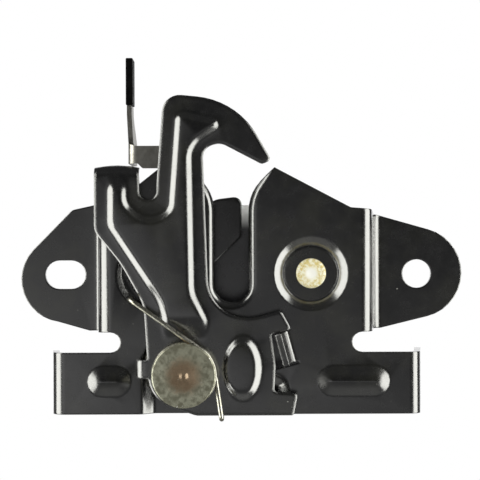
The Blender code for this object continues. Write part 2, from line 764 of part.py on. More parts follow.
def base_plate(bench):
    """The base plate: blank, pressings and stop tab."""
    drop = PANEL_H - BASE_SHEET
    upper_right = bend_lengths(RIGHT_WALL_RADIUS, RIGHT_WALL_ANGLE, drop, EAR_RADIUS)
    upper_left = bend_lengths(LEFT_WALL_RADIUS, LEFT_WALL_ANGLE, drop, EAR_RADIUS)
    lower_right = bend_lengths(RIGHT_WING_RADIUS, WING_ANGLE, PANEL_H - RIGHT_FLANGE_H, 0)
    lower_left = bend_lengths(LEFT_WING_RADIUS, WING_ANGLE, PANEL_H - LEFT_FLANGE_H, 0)
    rim = slot_rim()
    outline = base_outline(rim, upper_right, upper_left, lower_right, lower_left)
    hole = HOLE_WIDTH / 2
    holes = [
        arc((RIGHT_HOLE_X + upper_right[1], EAR_HOLE_Z), hole, 0, 360, 28)[:-1],
        stadium((LEFT_HOLE_X - upper_left[1], EAR_HOLE_Z), LEFT_SLOT_LENGTH / 2, hole, 12),
        arc((PIVOT_X, PIVOT_Z), PIVOT_SHANK + CLEAR, 0, 360, 24)[:-1],
        arc((LEVER_X, LEVER_Z), LEVER_SHANK + CLEAR, 0, 360, 24)[:-1],
        arc((WINDOW_X, LEVER_Z), WINDOW_RADIUS, 0, 360, 32)[:-1],
        tab_window(),
    ]
    loops = []
    for x, half in ((LEFT_BEAD_X, LEFT_BEAD_HALF), (RIGHT_BEAD_X, RIGHT_BEAD_HALF)):
        for share in (0, 0.12, 0.3, 0.52, 0.76, 0.96):
            step = BEAD_HALF_HEIGHT * share
            loops.append(stadium((x, BEAD_Z), half - step, BEAD_HALF_HEIGHT - step, 8))
    for k in range(6):
        loops.append(filleted(inset(bay_corners(), BAY_SLOPE * k / 5)))
    radii = [BOSS_RING - (BOSS_RING - BOSS_FLAT) * k / 4 for k in range(5)]
    loops += ring_loops((LEVER_X, LEVER_Z), [*radii[:-1], BOSS_FLAT - 0.05, BOSS_FLAT - 0.35])
    loops += ring_loops((WINDOW_X, LEVER_Z), radii[:-1])
    lines = [rim]
    for k in range(1, 5):
        bend = RIM_RADIUS * math.radians(78) * k / 4
        lines.append(offset_rim(rim, bend))
    cut_z = (PANEL_FOOT_Z + WING_TOP_Z) / 2
    for x in [RIGHT_BEND_X + s for s in upper_right[0]] + [LEFT_BEND_X - s for s in upper_left[0]]:
        lines.append([(x, cut_z), (x, 30)])
    for stop in lower_right[0]:
        lines.append([(RIGHT_WING_X + stop, cut_z), (RIGHT_WING_X + stop, -50)])
    for stop in lower_left[0]:
        lines.append([(LEFT_WING_X - stop, cut_z), (LEFT_WING_X - stop, -50)])
    flat, faces = blank(outline, holes, loops, lines)
    bend = partial(bend_base, rim=rim)
    mesh = sheet_mesh("base_plate", flat, faces, bend, base_rise(flat), BASE_SHEET)
    shade(mesh, 30)
    plate = bench.add("base_plate", mesh, "black_coat")
    join_cut(plate, stop_tab(bench), "UNION")
    return plate


# Safety hook

def hook_corners():
    """The hook's outline, counterclockwise from the top of its rolled arm."""
    arm_top = ARM_BEND_Z + ARM_RADIUS * math.pi / 2 + ARM_LIP
    hub_x = PIVOT_X
    hub_z = PIVOT_Z
    corners = [
        (-42.1, arm_top, 1.0),
        (-42.1, 13.9, 5),
        (-34.0, 4.0, 30),
        (-27.0, -8.6, 12),
        (-25.9, hub_z + 4.2, 0.6),
        (FINGER_X - FINGER_RADIUS * math.pi / 3, hub_z + 4.2, 0.4),
        (FINGER_X - FINGER_RADIUS * math.pi / 3, hub_z - 1.5, 0.4),
    ]
    corners += arc((hub_x, hub_z), HUB_RADIUS, 188, 262, 7)
    corners += [
        (-11.0, HOOK_BOTTOM_Z, 3),
        (18.9, HOOK_BOTTOM_Z, 0.8),
        (20.2, -36.2, 0.8),
        (13.0, -35.5, 0.8),
        (13.4, -27.3, 2),
        (12.2, -17.9, 0.6),
        (18.3, -16.4, 0.8),
        (15.2, -10.7, 1.2),
        (7.0, -12.9, 12),
        (-6.9, -12.7, 12),
        (-8.1, 20.0, 60),
        (-8.7, 39.3, 3.8),
        (-3.4, 41.0, 4.5),
        (9.4, 34.3, 1.4),
        (12.4, 35.5, 1.2),
        (1.8, 53.9, 24),
        (-20.8, 56.1, 5.5),
        (-22.9, 28.0, 40),
        (-22.9, 23.5, 2.5),
        (-28.2, 23.5, 2.5),
        (-28.4, arm_top, 1.0),
    ]
    return corners


def panel_corners():
    """The raised panel's foot, counterclockwise."""
    return [
        (-38.4, 36.0),
        (-38.4, 15.2, 5),
        (-22.0, -9.5, 14),
        (-21.0, -26.0),
        (-7.6, -26.0),
        (-6.6, -13.5, 4),
        (-11.0, -5.0, 9),
        (-11.4, 20.0),
        (-11.7, 39.4, 6),
        (-3.0, 45.2, 1.6),
        (-3.7, 48.4, 1.6),
        (-17.4, 51.6, 3.0),
        (-19.6, 21.0, 2.0),
        (-25.0, 16.8, 6),
        (-31.6, 22.5, 4),
        (-31.6, 36.0),
    ]


def hook_rise(flat):
    """Height of the hook's pressings above its flat border."""
    panel = filleted(panel_corners())
    fade = smooth((flat[:, 1] + 19.5) / 8.0) * smooth((ARM_BEND_Z - 0.3 - flat[:, 1]) / 4.0 + (flat[:, 0] > -25.6) * 9)
    fade = fade * smooth((54.5 - flat[:, 1]) / 9.0)
    rise = PANEL_RISE * smooth(depth_inside(flat, panel) / PANEL_SLOPE) * fade
    bead = ellipse(HOOK_BEAD, HOOK_BEAD_HALF_X, HOOK_BEAD_HALF_Z, 48)
    return rise + BEAD_RISE * smooth(depth_inside(flat, bead) / 3.0)


def arm_crest(x):
    """How far the arm's bend line rises above its ends."""
    return ARM_DOME * np.clip(1 - ((np.asarray(x) - ARM_MIDDLE_X) / ARM_HALF) ** 2, 0, 1)


def bend_hook(flat, rise):
    """Moves the flat blank to the hook's front surface, its arm's top rolled back."""
    x = flat[:, 0].copy()
    z = flat[:, 1].copy()
    h = HOOK_FRONT_H + rise
    line = ARM_BEND_Z + arm_crest(x)
    past = np.where(flat[:, 0] < -25.6, flat[:, 1] - line, -1.0)
    turn = np.clip(past / ARM_RADIUS, 0, math.pi / 2)
    rest = np.maximum(past - ARM_RADIUS * math.pi / 2, 0)
    z = np.where(past > 0, line + ARM_RADIUS * np.sin(turn), z)
    h = np.where(past > 0, h - ARM_RADIUS * (1 - np.cos(turn)) - rest, h)
    past = np.where(flat[:, 1] < PIVOT_Z + 5, FINGER_X - flat[:, 0], -1.0)
    turn = np.maximum(past, 0) / FINGER_RADIUS
    x = np.where(past > 0, FINGER_X - FINGER_RADIUS * np.sin(turn), x)
    h = np.where(past > 0, h - FINGER_RADIUS * (1 - np.cos(turn)), h)
    return np.column_stack([x, z, h])


def safety_hook(bench, axis):
    """The safety hook."""
    outline = filleted(hook_corners())
    hole = arc((PIVOT_X, PIVOT_Z), PIVOT_SHANK + CLEAR + BUSH_WALL + CLEAR, 0, 360, 28)[:-1]
    loops = []
    for k in range(5):
        loops.append(filleted(inset(panel_corners(), PANEL_SLOPE * k / 4)))
    for k in range(5):
        step = 3.0 * k / 4
        loops.append(ellipse(HOOK_BEAD, HOOK_BEAD_HALF_X - step, HOOK_BEAD_HALF_Z - step, 24))
    lines = []
    for k in range(6):
        z = ARM_BEND_Z + ARM_RADIUS * math.pi / 2 * k / 5
        lines.append([(x, z + arm_crest(x)) for x in (-45.0, -41.6, -39.4, -37.2, -35.0, -32.8, -30.6, -28.4, -26.0)])
    for z in (-19.5, -17.5, -15.5, -13.5, -11.5):
        lines.append([(-26.0, z), (-5.0, z)])
    for z in (26.6, 28.4):
        lines.append([(-45.0, z), (-30.0, z)])
    for k in range(4):
        x = FINGER_X - FINGER_RADIUS * math.pi / 3 * k / 4
        lines.append([(x, PIVOT_Z - 3), (x, PIVOT_Z + 6)])
    flat, faces = blank(outline, [hole], loops, lines)
    mesh = sheet_mesh("safety_hook", flat, faces, bend_hook, hook_rise(flat), HOOK_SHEET)
    shade(mesh, 30)
    return bench.add("safety_hook", mesh, "black_coat", axis)


# Handle

def bend_handle(flat, rise):
    """Moves the handle's flat blank to its front surface, the blade turned back and set to the left."""
    bend_x = BLADE_X + BLADE_RADIUS
    past = bend_x - flat[:, 0]
    angle = np.clip(past / BLADE_RADIUS, 0, math.pi / 2)
    rest = np.maximum(past - BLADE_RADIUS * math.pi / 2, 0)
    x = np.where(past > 0, bend_x - BLADE_RADIUS * np.sin(angle), flat[:, 0])
    x = x - BLADE_SET * np.clip((flat[:, 1] - FOOT_TOP_Z - 1.2) / (GRIP_BOTTOM_Z - FOOT_TOP_Z - 4.2), 0, 1)
    h = HOOK_BACK_H - CLEAR + rise - BLADE_RADIUS * (1 - np.cos(angle)) - rest
    return np.column_stack([x, flat[:, 1], h])


def hook_handle(bench, axis):
    """The handle bracket, a foot behind the hook's stem turned back into a standing blade, and its span."""
    front = HOOK_BACK_H - CLEAR
    turn = BLADE_RADIUS * math.pi / 2
    bend_x = BLADE_X + BLADE_RADIUS
    blade_end = bend_x - turn - BLADE_DEPTH
    tip_end = bend_x - turn - BLADE_NARROW
    tongue_end = tip_end + GRIP_WALL + CLEAR
    tongue_start = bend_x - turn - GRIP_WALL - CLEAR
    outline = filleted([
        (FOOT_END_X, FOOT_BOTTOM_Z, 1.0),
        (FOOT_END_X, FOOT_TOP_Z, 1.0),
        (bend_x, FOOT_TOP_Z),
        (bend_x - turn, FOOT_TOP_Z + 1.0, 2.5),
        (bend_x - turn, GRIP_BOTTOM_Z - CLEAR, 0.3),
        (tongue_start, GRIP_BOTTOM_Z - CLEAR),
        (tongue_start, HANDLE_TOP_Z - GRIP_WALL - CLEAR, 1.2),
        (tongue_end, HANDLE_TOP_Z - GRIP_WALL - CLEAR, 1.2),
        (tongue_end, GRIP_BOTTOM_Z - CLEAR),
        (tip_end, GRIP_BOTTOM_Z - CLEAR, 0.3),
        (tip_end, FOOT_TOP_Z + 9.0, 8),
        (blade_end, FOOT_TOP_Z + 1.0, 3),
        (blade_end, BLADE_BOTTOM_Z, 2),
        (bend_x + 0.4, BLADE_BOTTOM_Z, 0.4),
        (bend_x + 1.9, FOOT_BOTTOM_Z, 0.4),
    ])
    lines = []
    for k in range(7):
        x = bend_x - turn * k / 6
        lines.append([(x, 20), (x, 90)])
    for z in (FOOT_TOP_Z + 1.2, GRIP_BOTTOM_Z - 3.0):
        lines.append([(bend_x - turn, z), (blade_end - 2, z)])
    flat, faces = blank(outline, lines=lines)
    mesh = sheet_mesh("hook_handle", flat, faces, bend_handle, 0.0, HANDLE_SHEET)
    shade(mesh, 30)
    handle = bench.add("hook_handle", mesh, "bare_steel", axis)
    return handle, front - BLADE_RADIUS, front - BLADE_RADIUS - BLADE_NARROW


# Small turned and flat pieces

def rivets(bench):
    """The two rivets, each with a head in front and a tail behind the rear plate."""
    at = (PIVOT_X, PIVOT_Z)
    head_back = HOOK_FRONT_H + HOOK_WIRE * 3.35 + 3 * CLEAR
    head_front = head_back + HEAD_THICK
    tail = REAR_BACK_H - CLEAR
    profile = [
        (0, head_front - 1.1),
        (1.6, head_front - 1.05),
        (3.4, head_front - 0.8),
        (4.6, head_front - 0.5),
        (7.6, head_front - 0.25),
        (9.3, head_front),
        (9.8, head_front - 0.05),
        (HEAD_RADIUS, head_front - 0.7),
        (HEAD_RADIUS, head_back + 0.3),
        (HEAD_RADIUS - 0.3, head_back),
        (PIVOT_SHANK, head_back),
        (PIVOT_SHANK, tail),
        (PIVOT_SHANK + 1.6, tail),
        (PIVOT_SHANK + 1.4, tail - 1.2),
        (PIVOT_SHANK - 0.6, tail - 2.0),
        (0, tail - 2.0),
    ]
    turned(bench, "pivot_rivet", profile, at, "zinc", steps=44)
    low = BOSS_H + CLEAR
    shank = LEVER_SHANK
    profile = [
        (0, low + 1.5),
        (1.8, low + 1.6),
        (2.6, low + 1.9),
        (3.9, low + 2.0),
        (BRASS_RADIUS - 0.15, low + 1.6),
        (BRASS_RADIUS, low + 0.9),
        (BRASS_RADIUS, low),
        (shank, low),
        (shank, tail),
        (shank + 1.5, tail),
        (shank + 1.3, tail - 1.1),
        (shank - 0.5, tail - 1.8),
        (0, tail - 1.8),
    ]
    turned(bench, "lever_rivet", profile, (LEVER_X, LEVER_Z), "yellow_zinc", steps=28)
    return head_back


def pivot_stack(bench, hook_axis, catch_axis, head_back):
    """Washers, spacers and bushes on the main pivot."""
    at = (PIVOT_X, PIVOT_Z)
    inner = PIVOT_SHANK + CLEAR
    bush = inner + BUSH_WALL
    tube(bench, "hook_washer", inner, bush + 0.7, BAY_H + CLEAR, HOOK_BACK_H - CLEAR, at, "zinc")
    spool = [
        (inner, head_back - CLEAR),
        (HOOK_COIL - HOOK_WIRE / 2 - CLEAR, head_back - CLEAR),
        (HOOK_COIL - HOOK_WIRE / 2 - CLEAR, HOOK_FRONT_H + CLEAR),
        (bush, HOOK_FRONT_H + CLEAR),
        (bush, HOOK_BACK_H),
        (inner, HOOK_BACK_H),
    ]
    turned(bench, "hook_bush", spool, at, "bush_bronze", hook_axis, ring=True)
    low = CATCH_FRONT_H + CLEAR
    tube(bench, "catch_washer", inner, bush + 1.5, low, low + CATCH_WASHER, at, "zinc")
    tube(bench, "catch_bush", inner, bush, CATCH_BACK_H, CATCH_FRONT_H, at, "bush_bronze", catch_axis, edge=0.1)
    low = REAR_FRONT_H + CLEAR
    tube(bench, "pivot_spacer", inner, bush + 0.1, low, low + SPACER_LENGTH, at, "zinc")


def lever_stack(bench, axis):
    """Washers, spacers and bushes on the release lever's rivet."""
    at = (LEVER_X, LEVER_Z)
    inner = LEVER_SHANK + CLEAR
    bush = inner + BUSH_WALL
    tube(bench, "lever_washer", inner, bush + 1.9, LEVER_FRONT_H + CLEAR, BOSS_H - BASE_SHEET - CLEAR, at, "zinc")
    tube(bench, "lever_bush", inner, bush, LEVER_BACK_H, LEVER_FRONT_H, at, "bush_bronze", axis, edge=0.1)
    tube(bench, "lever_spacer", inner, bush + 0.2, REAR_FRONT_H + CLEAR, LEVER_BACK_H - CLEAR, at, "zinc")


def catch_outline():
    """The claw's outline, counterclockwise from the point under its hook."""
    hub = arc((PIVOT_X, PIVOT_Z), 9.5, 172, 372, 12)
    return filleted([
        (3.2, 12.2, 2.6),
        (3.2, 24.9, 2.4),
        (-5.0, 23.9, 5),
        (-14.0, 18.0, 6),
        (-17.5, 2.0, 20),
        (-22.6, -20.0, 10),
        *hub,
        (-5.1, -22.5, 2),
        (-5.2, -16.4, 8),
        (-4.6, -13.4, 3),
        (-4.9, -10.6, 2),
        (-8.4, -5.6, 4),
        (-7.0, 2.2, 2.5),
    ])


def main_catch(bench, axis):
    """The claw that holds the striker, swinging on the main pivot."""
    hole = arc((PIVOT_X, PIVOT_Z), PIVOT_SHANK + 2 * CLEAR + BUSH_WALL, 0, 360, 24)[:-1]
    mesh = flat_mesh("main_catch", catch_outline(), [hole], CATCH_BACK_H, CATCH_SHEET, 0.5, 2)
    bench.add("main_catch", mesh, "black_coat", axis)


def lever_outline():
    """The release lever's outline, counterclockwise from its cable arm."""
    hub = arc((LEVER_X, LEVER_Z), 7.4, 50, 185, 7)
    return filleted([
        (LEVER_X + 13.8, LEVER_Z - 5.6, 4.5),
        (LEVER_X + 16.6, LEVER_Z + 4.0, 4.5),
        *hub,
        (14.5, -8.5, 8),
        (4.0, -13.0, 9),
        (-2.7, -14.4, 2.2),
        (-6.0, -18.6, 2.0),
        (-1.8, -20.0, 2.2),
        (8.5, -18.8, 10),
        (24.0, -9.0, 12),
    ])


def release_lever(bench, axis):
    """The lever that the release cable pulls and that pushes the catch aside."""
    holes = [
        arc((LEVER_X, LEVER_Z), LEVER_SHANK + 2 * CLEAR + BUSH_WALL, 0, 360, 24)[:-1],
        stadium((LEVER_X + 12.4, LEVER_Z - 0.9), 2.2, 1.6, 4),
    ]
    mesh = flat_mesh("release_lever", lever_outline(), holes, LEVER_BACK_H, LEVER_SHEET, 0.3, 1)
    bench.add("release_lever", mesh, "zinc", axis)


def bend_rear(flat, rise, top):
    """Moves the rear plate's flat blank to its front surface, the top edge curved back."""
    past = np.maximum(flat[:, 1] - top, 0)
    turn = past / REAR_LIP_RADIUS
    z = np.where(past > 0, top + REAR_LIP_RADIUS * np.sin(turn), flat[:, 1])
    return np.column_stack([flat[:, 0], z, REAR_FRONT_H + rise - REAR_LIP_RADIUS * (1 - np.cos(turn))])


def rear_plate(bench):
    """The rear plate that closes the mechanism, its top edge curved back to guide the striker."""
    roll = math.radians(REAR_LIP_ANGLE)
    top = REAR_TOP_Z - REAR_LIP_RADIUS * math.sin(roll)
    lip = REAR_LIP_RADIUS * roll
    outline = filleted([
        (PIVOT_X - 10.0, PIVOT_Z - 9.5, 6),
        (PIVOT_X + 10.5, PIVOT_Z - 9.5, 6),
        (19.0, -32.5, 8),
        (25.5, -26.0, 8),
        (LEVER_X + 9.5, LEVER_Z - 9.0, 8),
        (LEVER_X + 9.5, LEVER_Z + 8.5, 7),
        (13.0, 13.5, 6),
        (10.5, top + lip, 1),
        (-10.5, top + lip, 1),
        (-14.0, 13.0, 6),
        (WINDOW_X - 12.5, LEVER_Z + 11.5, 7),
        (WINDOW_X - 12.5, LEVER_Z - 12.0, 7),
        (PIVOT_X - 10.0, -21.0, 12),
    ])
    holes = [
        arc((PIVOT_X, PIVOT_Z), PIVOT_SHANK + CLEAR, 0, 360, 24)[:-1],
        arc((LEVER_X, LEVER_Z), LEVER_SHANK + CLEAR, 0, 360, 24)[:-1],
    ]
    bead = [(19.5, -11.0, 3), (13.0, 8.5, 3), (9.5, 8.5, 2), (9.5, -11.0, 3)]
    loops = [filleted(inset(bead, 1.6 * k / 3)) for k in range(4)]
    lines = [[(-20, top + lip * k / 6), (20, top + lip * k / 6)] for k in range(6)]
    flat, faces = blank(outline, holes, loops, lines)
    rise = -0.9 * smooth(depth_inside(flat, filleted(bead)) / 1.6)
    mesh = sheet_mesh("rear_plate", flat, faces, partial(bend_rear, top=top), rise, REAR_SHEET)
    shade(mesh, 30)
    bench.add("rear_plate", mesh, "black_coat")


def box_mesh(name, boxes, edge=0.0):
    """Boxes between low and high corners, their edges broken by a bevel."""
    block = bmesh.new()
    for low, high in boxes:
        made = bmesh.ops.create_cube(block, size=MM)["verts"]
        bmesh.ops.scale(block, verts=made, vec=[b - a for a, b in zip(low, high)])
        bmesh.ops.translate(block, verts=made, vec=[(a + b) / 2 * MM for a, b in zip(low, high)])
    if edge:
        bmesh.ops.bevel(block, geom=list(block.edges), offset=edge * MM, segments=2, profile=0.5, affect="EDGES")
    mesh = bpy.data.meshes.new(name)
    block.to_mesh(mesh)
    block.free()
    return mesh


def grip(bench, axis, handle, high, low):
    """The black sleeve over the blade's thinned tongue."""
    middle = BLADE_X - BLADE_SET + HANDLE_SHEET / 2
    hollow = TONGUE_SHEET / 2 + CLEAR
    skin = hollow + GRIP_WALL
    top = HANDLE_TOP_Z
    bottom = GRIP_BOTTOM_Z
    mesh = box_mesh("handle_grip", [((middle - skin, bottom, low), (middle + skin, top, high))], 0.3)
    sleeve = bench.add("handle_grip", mesh, "black_plastic", axis)
    wall = GRIP_WALL
    inner = ((middle - hollow, bottom - 2, low + wall), (middle + hollow, top - wall, high - wall))
    mesh = box_mesh("grip_hollow", [inner])
    join_cut(sleeve, bench.cutter(bench.add("grip_hollow", mesh, "black_plastic", axis)), "DIFFERENCE")
    half = TONGUE_SHEET / 2
    foot = bottom - CLEAR
    reliefs = [
        ((middle - 3, foot, low - 3), (middle - half, top + 3, high + 3)),
        ((middle + half, foot, low - 3), (middle + 3, top + 3, high + 3)),
    ]
    mesh = box_mesh("tongue_relief", reliefs)
    join_cut(handle, bench.cutter(bench.add("tongue_relief", mesh, "bare_steel", axis)), "DIFFERENCE")


def springs(bench, hook_axis, catch_axis, lever_axis, head_back):
    """The three torsion springs, each a coil between two straight legs."""
    centre = (PIVOT_X, PIVOT_Z)
    low = HOOK_FRONT_H + CLEAR + HOOK_WIRE / 2
    high = head_back - CLEAR - HOOK_WIRE / 2
    turns = 2 + (55.0 - HOOK_LEG_ANGLE) / 360
    body = coil(centre, HOOK_COIL, HOOK_LEG_ANGLE, turns, low, (high - low) / turns)
    first = body[0]
    last = body[-1]
    foot = HOOK_BOTTOM_Z - CLEAR - HOOK_WIRE / 2
    run = (first[1] - foot) * math.tan(math.radians(HOOK_LEG_ANGLE))
    lower = [
        (first[0] + run, foot - 0.1, 15.5),
        (first[0] + run, foot - 0.1, low - 1.4),
        (first[0] + run, foot + 0.35, low - 0.3),
        (first[0] + run * 0.93, foot + 1.5, low),
    ]
    reach = 26.6
    tip = (last[0] - reach * math.sin(math.radians(55)), last[1] + reach * math.cos(math.radians(55)))
    upper = [
        (last[0] + (tip[0] - last[0]) * 0.5, last[1] + (tip[1] - last[1]) * 0.5, high - 0.3),
        (tip[0] + 1.2, tip[1] - 0.8, high - 1.2),
        (tip[0], tip[1], high - 2.2),
        (tip[0] - 0.1, tip[1] + 0.1, high - 3.6),
        (tip[0] - 0.1, tip[1] + 0.1, HOOK_BACK_H - 0.2),
    ]
    wire(bench, "hook_spring", lower + body + upper, HOOK_WIRE, "spring_steel")

    # The catch's spring: one leg behind the rear plate's bottom edge, one round the catch's left edge
    low = REAR_FRONT_H + CLEAR + CATCH_WIRE / 2
    high = CATCH_BACK_H - CLEAR - CATCH_WIRE / 2
    turns = 2 + 105.0 / 360
    body = coil(centre, CATCH_COIL, 300, turns, low, (high - low) / turns)
    foot = leg(body[0], 300, -9.2)
    tip = leg(body[-1], 45, 18.0)
    start = [(*foot, REAR_BACK_H - 1.2), (*foot, low - 1.0), (foot[0] + 0.9, foot[1] + 0.5, low)]
    end = [(tip[0] + 0.7, tip[1] - 0.7, high), (*tip, high + 1.0), (*tip, CATCH_FRONT_H - 1.2)]
    wire(bench, "catch_spring", start + body + end, CATCH_WIRE, "spring_steel")

    # The lever's spring: one leg behind the rear plate's right edge, one under the lever's cable arm
    low = REAR_FRONT_H + CLEAR + LEVER_WIRE / 2
    high = LEVER_BACK_H - CLEAR - LEVER_WIRE / 2
    turns = 2 + 150.0 / 360
    body = coil((LEVER_X, LEVER_Z), LEVER_COIL, 90, turns, low, (high - low) / turns)
    foot = leg(body[0], 90, -10.8)
    tip = leg(body[-1], 240, 9.6)
    start = [(*foot, REAR_BACK_H - 1.0), (*foot, low - 0.9), (foot[0] - 0.9, foot[1], low)]
    end = [(tip[0] - 0.8, tip[1] + 0.45, high), (*tip, high + 0.9), (*tip, LEVER_FRONT_H - 0.8)]
    wire(bench, "lever_spring", start + body + end, LEVER_WIRE, "spring_steel")


def main():
    """Builds the latch."""
    clear_scene()
    bench = Bench()
    hook_axis = bench.empty("hook_axis", bench.base, (PIVOT_X, PIVOT_Z, 0))
    catch_axis = bench.empty("catch_axis", bench.base, (PIVOT_X, PIVOT_Z, 0))
    lever_axis = bench.empty("lever_axis", bench.base, (LEVER_X, LEVER_Z, 0))
    base_plate(bench)
    rear_plate(bench)
    safety_hook(bench, hook_axis)
    handle, high, low = hook_handle(bench, hook_axis)
    grip(bench, hook_axis, handle, high, low)
    head_back = rivets(bench)
    pivot_stack(bench, hook_axis, catch_axis, head_back)
    lever_stack(bench, lever_axis)
    main_catch(bench, catch_axis)
    release_lever(bench, lever_axis)
    springs(bench, hook_axis, catch_axis, lever_axis, head_back)


main()
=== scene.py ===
"""A bonnet latch in its studio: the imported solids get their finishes, edges and fine forms here.

Every size is in bench millimetres, as in the latch's own drawing: x to the right, z up, and h, the height
above the mounting plane towards the viewer, which runs along -Y.
"""

import logging
import math
from collections.abc import Callable
from dataclasses import dataclass, field
from enum import Enum

import bmesh
import bpy
import numpy as np
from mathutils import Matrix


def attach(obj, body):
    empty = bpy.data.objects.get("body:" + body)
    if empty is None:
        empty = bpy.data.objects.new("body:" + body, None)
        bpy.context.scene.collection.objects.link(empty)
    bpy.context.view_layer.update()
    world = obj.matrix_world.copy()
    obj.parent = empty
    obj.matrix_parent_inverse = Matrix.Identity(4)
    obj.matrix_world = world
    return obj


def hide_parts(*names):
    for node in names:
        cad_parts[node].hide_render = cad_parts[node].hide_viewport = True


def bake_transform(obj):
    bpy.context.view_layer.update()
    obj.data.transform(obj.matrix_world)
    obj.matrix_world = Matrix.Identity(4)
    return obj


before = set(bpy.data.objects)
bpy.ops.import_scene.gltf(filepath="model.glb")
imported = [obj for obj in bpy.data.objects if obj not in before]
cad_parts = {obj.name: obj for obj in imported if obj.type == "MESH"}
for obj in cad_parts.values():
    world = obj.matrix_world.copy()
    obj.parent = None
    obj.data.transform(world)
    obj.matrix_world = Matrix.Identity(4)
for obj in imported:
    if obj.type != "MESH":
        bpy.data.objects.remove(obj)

MM = 0.001
LOG = logging.getLogger("bonnet_latch")

# Points closer than this, in metres, are one point
WELD = 2e-7
WELD_DIGITS = 7

# Where most values of a noise lie, and a narrower span that makes blotches
NOISE_SPAN = (0.3, 0.7)
BLOTCH_SPAN = (0.35, 0.65)

# The bench places of the main pivot and of the lever's rivet
PIVOT = (-14.5, -29.9)
LEVER_PIVOT = (24.7, 0.6)


class Body(Enum):
    """The rigid groups that move on the latch."""

    PLATE = "plate"
    HOOK = "hook"
    CATCH = "catch"
    LEVER = "lever"


class Slot(Enum):
    """The record's material slots."""

    BLACK_COAT = "black_coat"
    BLACK_PLASTIC = "black_plastic"
    ZINC = "zinc"
    YELLOW_ZINC = "yellow_zinc"
    BARE_STEEL = "bare_steel"
    SPRING_STEEL = "spring_steel"
    BUSH_BRONZE = "bush_bronze"


def to_world(places: np.ndarray) -> np.ndarray:
    """Turns bench places into the shared frame.

    Args:
        places: Rows of (x, z, h) in millimetres.

    Returns:
        Rows of (x, y, z) in metres, with y the negative of h.
    """
    bench = np.asarray(places, float)
    return np.column_stack([bench[:, 0], -bench[:, 2], bench[:, 1]]) * MM


def feed(
    tree: bpy.types.NodeTree,
    target: bpy.types.NodeSocket,
    value: bpy.types.NodeSocket | float | tuple[float, ...],
) -> None:
    """Fills a node's input.

    Args:
        tree: The node tree that it is in.
        target: The input.
        value: Another node's output, which is linked, or a number or colour, which is set.
    """
    if isinstance(value, bpy.types.NodeSocket):
        tree.links.new(value, target)
    else:
        target.default_value = value


def computed(
    tree: bpy.types.NodeTree, operation: str, *terms: bpy.types.NodeSocket | float
) -> bpy.types.NodeSocket:
    """A Math node.

    Args:
        tree: The node tree that it goes into.
        operation: What it does.
        terms: Its inputs in order, each a socket or a number.

    Returns:
        The result.
    """
    node = tree.nodes.new("ShaderNodeMath")
    node.operation = operation
    for target, term in zip(node.inputs, terms):
        feed(tree, target, term)
    return node.outputs[0]


def soft_step(
    tree: bpy.types.NodeTree,
    value: bpy.types.NodeSocket,
    reach: tuple[float, float],
    result: tuple[float, float],
) -> bpy.types.NodeSocket:
    """Maps a value's reach to a result with soft ends.

    Args:
        tree: The node tree that it is in.
        value: The value.
        reach: Where the step starts and ends.
        result: What it gives there.

    Returns:
        The mapped value.
    """
    node = tree.nodes.new("ShaderNodeMapRange")
    node.interpolation_type = "SMOOTHSTEP"
    for name, limit in zip(("From Min", "From Max", "To Min", "To Max"), (*reach, *result)):
        node.inputs[name].default_value = limit
    tree.links.new(value, node.inputs["Value"])
    return node.outputs["Result"]


